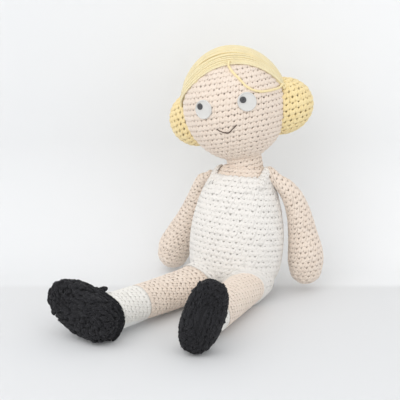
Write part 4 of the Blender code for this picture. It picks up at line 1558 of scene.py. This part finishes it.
@dataclass
class Leg:
    """A stuffed leg with its sock, shoe and shoe strap.

    Attributes:
        side: Whose it is.
        hip_half_spacing: From the middle of the body out to a hip.
        hip_forward: From the middle of the seat forward to the hips.
        hip_height: Of the hips over the floor.
        hip_radius: Of the leg at the hip.
        sock_from: From the hip to the top of the sock.
        sock_longer: How much further the sock on the doll's left leg is pulled up.
        sock_radius: Of the leg there.
        ankle_radius: Of the leg at the ankle.
        ankle_height: Of the ankle over the sole.
        shoe_height: From the sole to the rim.
        shoe_half_length: At its longest.
        shoe_forward: From the ankle to the middle of the sole.
        shoe_wall: Of the shoe.
        shoe_blunt: How little its ovals are squared.
        strap_radius: Half the height of the strap.
        sole_roll: Of the sole about the foot's length, inward.
    """

    side: Side
    hip_half_spacing: float = 16.0 * MM
    hip_forward: float = 23.5 * MM
    hip_height: float = 13.4 * MM
    hip_radius: float = 12.3 * MM
    sock_from: float = 63.0 * MM
    sock_longer: float = 6.5 * MM
    sock_radius: float = 11.7 * MM
    ankle_radius: float = 11.3 * MM
    ankle_height: float = 20.5 * MM
    shoe_height: float = 17.0 * MM
    shoe_half_length: float = 25.3 * MM
    shoe_forward: float = 14.5 * MM
    shoe_wall: float = 2.5 * MM
    shoe_blunt: float = 0.82
    strap_radius: float = 1.5 * MM
    sole_roll: float = radians(-12.5)

    def __post_init__(self) -> None:
        """Lets the ankle down until the shoe rests on the floor."""
        self.body = f"leg_{self.side.word}"
        self.shoe_half_width = self.side.pick(12.8, 15.0) * MM
        self.instep = self.side.pick(2.0, 5.4) * MM
        self.sock_from -= self.side.pick(self.sock_longer, 0.0)
        height = self.ankle_radius
        for _ in range(4):
            self.aim(height)
            lowest = min(
                centre.z - sqrt((one.z * wide) ** 2 + (other.z * deep) ** 2)
                for centre, one, other, wide, deep in self.foot_rings(self.shoe_rows(0))
            )
            height -= lowest + SEAT_CUT
        self.aim(height)

    def aim(self, ankle_height: float) -> None:
        """Works out the leg's directions for a height of its ankle over the floor."""
        sign = self.side.value
        turn = radians(self.side.pick(-5, 22))
        reach = self.side.pick(96.5, 108.0) * MM - self.ankle_height
        foot_out = radians(self.side.pick(18, 70))
        self.hip = Vector((sign * self.hip_half_spacing, -self.hip_forward, self.hip_height))
        self.ankle = self.hip + Vector((sign * sin(turn), -cos(turn), 0)) * reach
        self.ankle.z = ankle_height
        self.along = (self.ankle - self.hip).normalized()
        self.hinge = UP.cross(self.along).normalized()
        lift = (UP - self.along * UP.dot(self.along)).normalized()
        self.front = lift * cos(foot_out) + self.hinge * sign * sin(foot_out)
        self.across = self.along.cross(self.front)
        self.reach = (self.ankle - self.hip).length

    def shin(self, way: float) -> Vector:
        """The middle of the leg this far from the hip: it bends up a little towards the instep."""
        return self.hip + self.along * way + UP * (self.instep * (way / self.reach) ** 2)

    def foot_turned(self, share: float) -> tuple[Vector, Vector, Vector]:
        """The directions of the toe, the sole and the inner side, with this share of the foot's turning."""
        turn = radians(self.side.pick(-5, 6)) * share
        roll = self.sole_roll * share
        toe = self.front * cos(turn) + self.along * sin(turn)
        level = self.along * cos(turn) - self.front * sin(turn)
        sole = level * cos(roll) + self.across * sin(roll)
        return toe, sole, self.across * cos(roll) - level * sin(roll)

    def shoe_rows(self, wall: float) -> list[tuple[float, float, float, float]]:
        """Height, half length, half width and forward place of the shoe's rows, with a wall taken off."""
        rows, waist = [], 0.4
        for height, length, width, forward in SHOE_PROFILE_SHARES:
            shift = -(height - waist) / (1 - waist) if height > waist else 1 - height / waist
            rows.append(
                (
                    height * self.shoe_height + wall * shift,
                    length * self.shoe_half_length - wall,
                    width * self.shoe_half_width - wall,
                    forward * self.shoe_forward,
                )
            )
        return rows

    def foot_rings(self, rows: Iterable[tuple[float, float, float, float]]) -> list[Ring]:
        """Rings of the foot or the shoe from its rows."""
        toe, sole, across = self.foot_turned(1)
        return [
            (self.ankle + sole * (self.ankle_height - height) + toe * forward, toe, across, length, width)
            for height, length, width, forward in rows
        ]

    def build(self) -> None:
        """Makes the suit's hem, the leg, the sock, the shoe and its strap."""
        self.build_hem()
        self.build_skin()
        self.build_sock()
        self.build_shoe()
        self.build_strap()

    def build_hem(self) -> None:
        """The suit's hem, slanted over the top of the thigh."""
        base, tilt, bulge = (size * MM for size in self.side.pick((9.0, 8.5, 1.5), (4.0, 0.0, 8.0)))
        lift = self.along.cross(self.hinge)
        radius = self.hip_radius + 1.2 * MM
        one = self.hinge * (self.side.value * radius) - self.along * tilt
        other = lift * radius + self.along * bulge
        rings: list[Ring] = []
        for way in (-14, -9, -4, 0):
            centre = self.hip + self.along * (base + way * MM)
            rings.append((centre, one.normalized(), other.normalized(), one.length, other.length))
        form = Form(rings)
        rounds = Rounds(form, SUIT_STITCH, 0.0, form.length, 65 + self.side.value)
        follow = (self.body, self.hip, self.hip + self.along * 12 * MM)
        lining = rounds.lining(90, holes=True)
        crocheted(f"suit_hem_{self.side.word}", rounds, lining, SUIT, "body", follow=follow)

    def build_skin(self) -> None:
        """The skin part of the leg."""
        under = (self.along * UP.dot(self.along) - UP).normalized()
        beside = self.along.cross(under)
        rings = dome(self.hip, -self.along, under, beside, self.hip_radius, (4, 30, 55, 78))
        for share in (0.05, 0.25, 0.5, 0.75, 1.0):
            radius = self.hip_radius + (self.sock_radius - self.hip_radius) * share
            rings.append((self.shin(self.sock_from * share), under, beside, radius, radius))
        form = Form(rings)
        stitch = self.side.pick(SMOOTH_STITCH, LEG_STITCH)
        rounds = Rounds(form, stitch, 6 * MM, form.length, 61 + self.side.value)
        lining = rounds.lining(100, holes=True)
        crocheted(f"{self.body}_crochet", rounds, lining, SKIN, self.body, [self.body])

    def build_sock(self) -> None:
        """The white sock that goes on from the leg into the shoe."""
        toe, _, across = self.foot_turned(0.5)
        rings: list[Ring] = []
        for way in (self.sock_from, self.sock_from + 5 * MM, self.reach - 5 * MM):
            share = (way - self.sock_from) / (self.reach - self.sock_from)
            radius = self.sock_radius + (self.ankle_radius - self.sock_radius) * share
            rings.append((self.shin(way), self.front, self.across, radius, radius))
        rings.append((self.shin(self.reach), toe, across, self.ankle_radius, self.ankle_radius))
        foot = self.foot_rings(self.shoe_rows(self.shoe_wall + 0.6 * MM))
        centre, one, other, _, _ = foot[0]
        form = Form([*rings, *reversed(foot), (centre, one, other, 6 * MM, 0.1 * MM)])
        rim = form.nearest(foot[-2][0])
        rounds = Rounds(form, SMOOTH_STITCH, 0.0, rim, 63 + self.side.value)
        name = f"sock_{self.side.word}"
        crocheted(f"{name}_crochet", rounds, rounds.lining(40), SOCK, self.body, [name])

    def build_shoe(self) -> None:
        """The shoe, worked in ovals from the middle of the sole up to its rim."""
        rows = self.shoe_rows(0.5 * MM)
        height, length, width, forward = rows[0]
        ovals = [(length - width + width * t, max(width * t, 0.1 * MM)) for t in (0.01, 0.35, 0.7)]
        sole = [(height, long, wide, forward) for long, wide in ovals]
        form = Form(self.foot_rings([*sole, *rows]), blunt=self.shoe_blunt)
        jitter, lumps, flat = self.side.pick((0.12, 0.2 * MM, 0.6), (0.22, 0.4 * MM, 0.85))
        stitch = Stitch(
            width=3.1 * MM, height=2.8 * MM, yarn=1.15 * MM, sink=-1.1 * MM, jitter=jitter, lumps=lumps,
            fuzz=0.22 * MM, flat=flat,
        )
        rounds = Rounds(form, stitch, 0.6 * MM, form.length, 71 + self.side.value)
        inner = self.foot_rings(self.shoe_rows(self.shoe_wall))
        centre, one, other, _, _ = inner[0]
        outer = self.foot_rings([*sole, *self.shoe_rows(0.9 * MM)])
        bottom = (centre, one, other, 8 * MM, 0.1 * MM)
        shell = Form([*outer, *reversed(inner), bottom], blunt=self.shoe_blunt)
        name = f"shoe_{self.side.word}"
        # The shell under the stitches gets the default painted shade
        crocheted(f"{name}_crochet", rounds, wrapped(shell, 0.0, 40, 60), SHOE, self.body, [name])

    def build_strap(self) -> None:
        """The crocheted band across the instep, which arches a little over it."""
        toe, sole, across = self.foot_turned(1)
        reach = self.ankle_radius + 0.5 * MM + GAP + self.strap_radius + self.instep
        rim = self.shoe_height + GAP + self.strap_radius
        arch, half_turn, steps = 4.0 * MM, radians(50), 12
        route, inside = [], []
        for share in np.linspace(-1, 1, steps + 1):
            turn = half_turn * share
            over = self.ankle + sole * (self.ankle_height - rim - arch * sqrt(1 - abs(share) ** 2.5))
            route.append(over + toe * (reach * cos(turn)) + across * (reach * sin(turn)))
            inside.append(over)
        name = f"shoe_strap_{self.side.word}"
        band = Band(f"{name}_crochet", route, 1.9 * MM, 1.3 * MM, STRAP_STITCH)
        band.build(inside, SHOE, self.body, [name])


# Filling, room and camera


def dress_filling() -> None:
    """Gives the stuffing nodes inside the doll their fibre."""
    finish = fibre_finish()
    for name, node in frame["nodes"].items():
        if "stuffing" in name:
            for slot in node.material_slots:
                slot.material = finish


@dataclass
class Room:
    """The pale sweep behind the doll, the lamps and the camera.

    Attributes:
        azimuth: Of the camera round the doll, from its front.
        elevation: Of the camera.
        distance: From the camera to its target.
        target: What the camera looks at.
        lens: Its focal length.
        sensor: The width of its sensor.
        fold: How far behind the middle of the seat the floor's painted shade ends.
        fold_soft: Half the width of that edge.
        rise_from: How far behind it the floor starts to rise.
        sweep: Radius of that rise.
        reach: How far the floor and the wall go.
        floor: Colour of the floor, painted darker than the wall as painted shade.
        wall: Colour of the wall at its foot on the left, before its painted light.
        wall_bright: Its colour at the top on the right, with painted light.
        sky: Strength of the even light.
    """

    azimuth: float = radians(20)
    elevation: float = radians(18)
    distance: float = 900 * MM
    target: tuple[float, float, float] = (-27 * MM, -0.5 * MM, 61.8 * MM)
    lens: float = 117.48
    sensor: float = 36
    fold: float = 4 * MM
    fold_soft: float = 5 * MM
    rise_from: float = 22 * MM
    sweep: float = 80 * MM
    reach: float = 3000 * MM
    floor: Colour = (0.75, 0.757, 0.765)
    wall: Colour = (0.80, 0.81, 0.82)
    wall_bright: Colour = (0.885, 0.895, 0.905)
    sky: float = 0.96

    def build(self) -> None:
        """Makes the room."""
        self.build_sweep()
        self.build_lamps()
        self.build_camera()

    def back(self) -> Vector:
        """From the target to the camera."""
        a, e = self.azimuth, self.elevation
        return Vector((sin(a) * cos(e), -cos(a) * cos(e), sin(e)))

    def build_sweep(self) -> None:
        """A floor that rises into a wall."""
        bm = bmesh.new()
        profile = [(-self.reach, 0.0), (0.0, 0.0)]
        profile += [(self.sweep * sin(a), self.sweep * (1 - cos(a))) for a in np.linspace(0.05, pi / 2, 24)]
        profile.append((self.sweep, self.reach))
        verts = [bm.verts.new((-self.reach, self.rise_from + y, z)) for y, z in profile]
        edges = [bm.edges.new(pair) for pair in zip(verts, verts[1:])]
        grown = bmesh.ops.extrude_edge_only(bm, edges=edges)["geom"]
        fresh = [item for item in grown if isinstance(item, bmesh.types.BMVert)]
        bmesh.ops.translate(bm, verts=fresh, vec=(2 * self.reach, 0, 0))
        bmesh.ops.rotate(bm, verts=bm.verts, cent=(0, 0, 0), matrix=Matrix.Rotation(self.azimuth, 3, "Z"))
        bmesh.ops.recalc_face_normals(bm, faces=bm.faces)
        for face in bm.faces:
            face.smooth = True
        floor = bpy.data.objects.new("pale_sweep", mesh_from(bm, "pale_sweep"))
        bpy.context.scene.collection.objects.link(floor)
        floor.data.materials.append(self.paper())

    def paper(self) -> Material:
        """The paper of the sweep: a floor painted darker than its wall as painted shade, and a wall painted
        lighter to the right and upward as painted light.
        """
        material, tree, shader = started("pale_paper", {"Roughness": 0.9, "Specular IOR Level": 0.1})
        place = tree.nodes.new("ShaderNodeTexCoord")
        parts = fed(tree, tree.nodes.new("ShaderNodeSeparateXYZ"), {0: place.outputs["Object"]})

        def towards(angle: float) -> Socket:
            """The way along the floor at this angle from the X axis."""
            aside = math_node(tree, "MULTIPLY", parts.outputs["X"], cos(angle))
            return math_node(tree, "ADD", aside, math_node(tree, "MULTIPLY", parts.outputs["Y"], sin(angle)))

        behind = towards(self.azimuth + pi / 2)
        # Painted shade: the floor is darker than the wall, up to a soft edge at the fold
        edge = ranged(tree, behind, self.fold - self.fold_soft, self.fold + self.fold_soft)
        # Painted light: the wall is painted lighter upward and to the right
        up = ranged(tree, parts.outputs["Z"], 30 * MM, 150 * MM)
        right = ranged(tree, towards(self.azimuth), -160 * MM, 110 * MM, 0.75, "LINEAR")
        pale = math_node(tree, "ADD", right, math_node(tree, "MULTIPLY", up, 0.25))
        wall = mixed(tree, pale, self.wall, self.wall_bright)
        fed(tree, shader, {"Base Color": mixed(tree, edge, self.floor, wall)})
        return material

    def build_lamps(self) -> None:
        """An even sky, one large soft lamp over the camera and two weak ones beside it."""
        world = bpy.data.worlds.new("pale_room")
        world.use_nodes = True
        background = world.node_tree.nodes["Background"]
        fed(world.node_tree, background, {"Color": (0.985, 0.99, 1.0), "Strength": self.sky})
        bpy.context.scene.world = world
        aim = Vector((0, 0, 70 * MM))
        for name, place, size, power in (
            ("softbox_front", (-0.15, -1.1, 0.95), 1.0, 4.2),
            ("softbox_right", (0.9, -0.6, 0.7), 0.8, 1.0),
            ("softbox_left", (-0.9, -0.7, 0.5), 0.8, 1.0),
        ):
            lamp = bpy.data.lights.new(name, "AREA")
            lamp.shape = "SQUARE"
            lamp.size = size
            lamp.energy = power
            lamp.color = (1.0, 0.99, 0.975)
            made = bpy.data.objects.new(name, lamp)
            made.location = place
            made.rotation_euler = (aim - Vector(place)).to_track_quat("-Z", "Y").to_euler()
            bpy.context.scene.collection.objects.link(made)

    def build_camera(self) -> None:
        """The camera of the photograph."""
        data = bpy.data.cameras.new("photo_camera")
        data.lens = self.lens
        data.sensor_width = self.sensor
        data.sensor_fit = "HORIZONTAL"
        data.clip_start = 50 * MM
        camera = bpy.data.objects.new("photo_camera", data)
        camera.location = Vector(self.target) + self.back() * self.distance
        camera.rotation_euler = (-self.back()).to_track_quat("-Z", "Y").to_euler()
        bpy.context.scene.collection.objects.link(camera)
        bpy.context.scene.camera = camera


def main() -> None:
    """Builds the doll and its room, piece by piece."""
    logging.basicConfig(level=logging.INFO, format="%(message)s")
    bpy.context.scene.view_settings.view_transform = "Standard"
    head = Head()
    Room().build()
    Torso().build(head)
    head.build()
    for side in Side:
        Arm(side).build()
        Leg(side).build()
    dress_filling()
    bpy.context.view_layer.update()


if __name__ == "__main__":
    main()
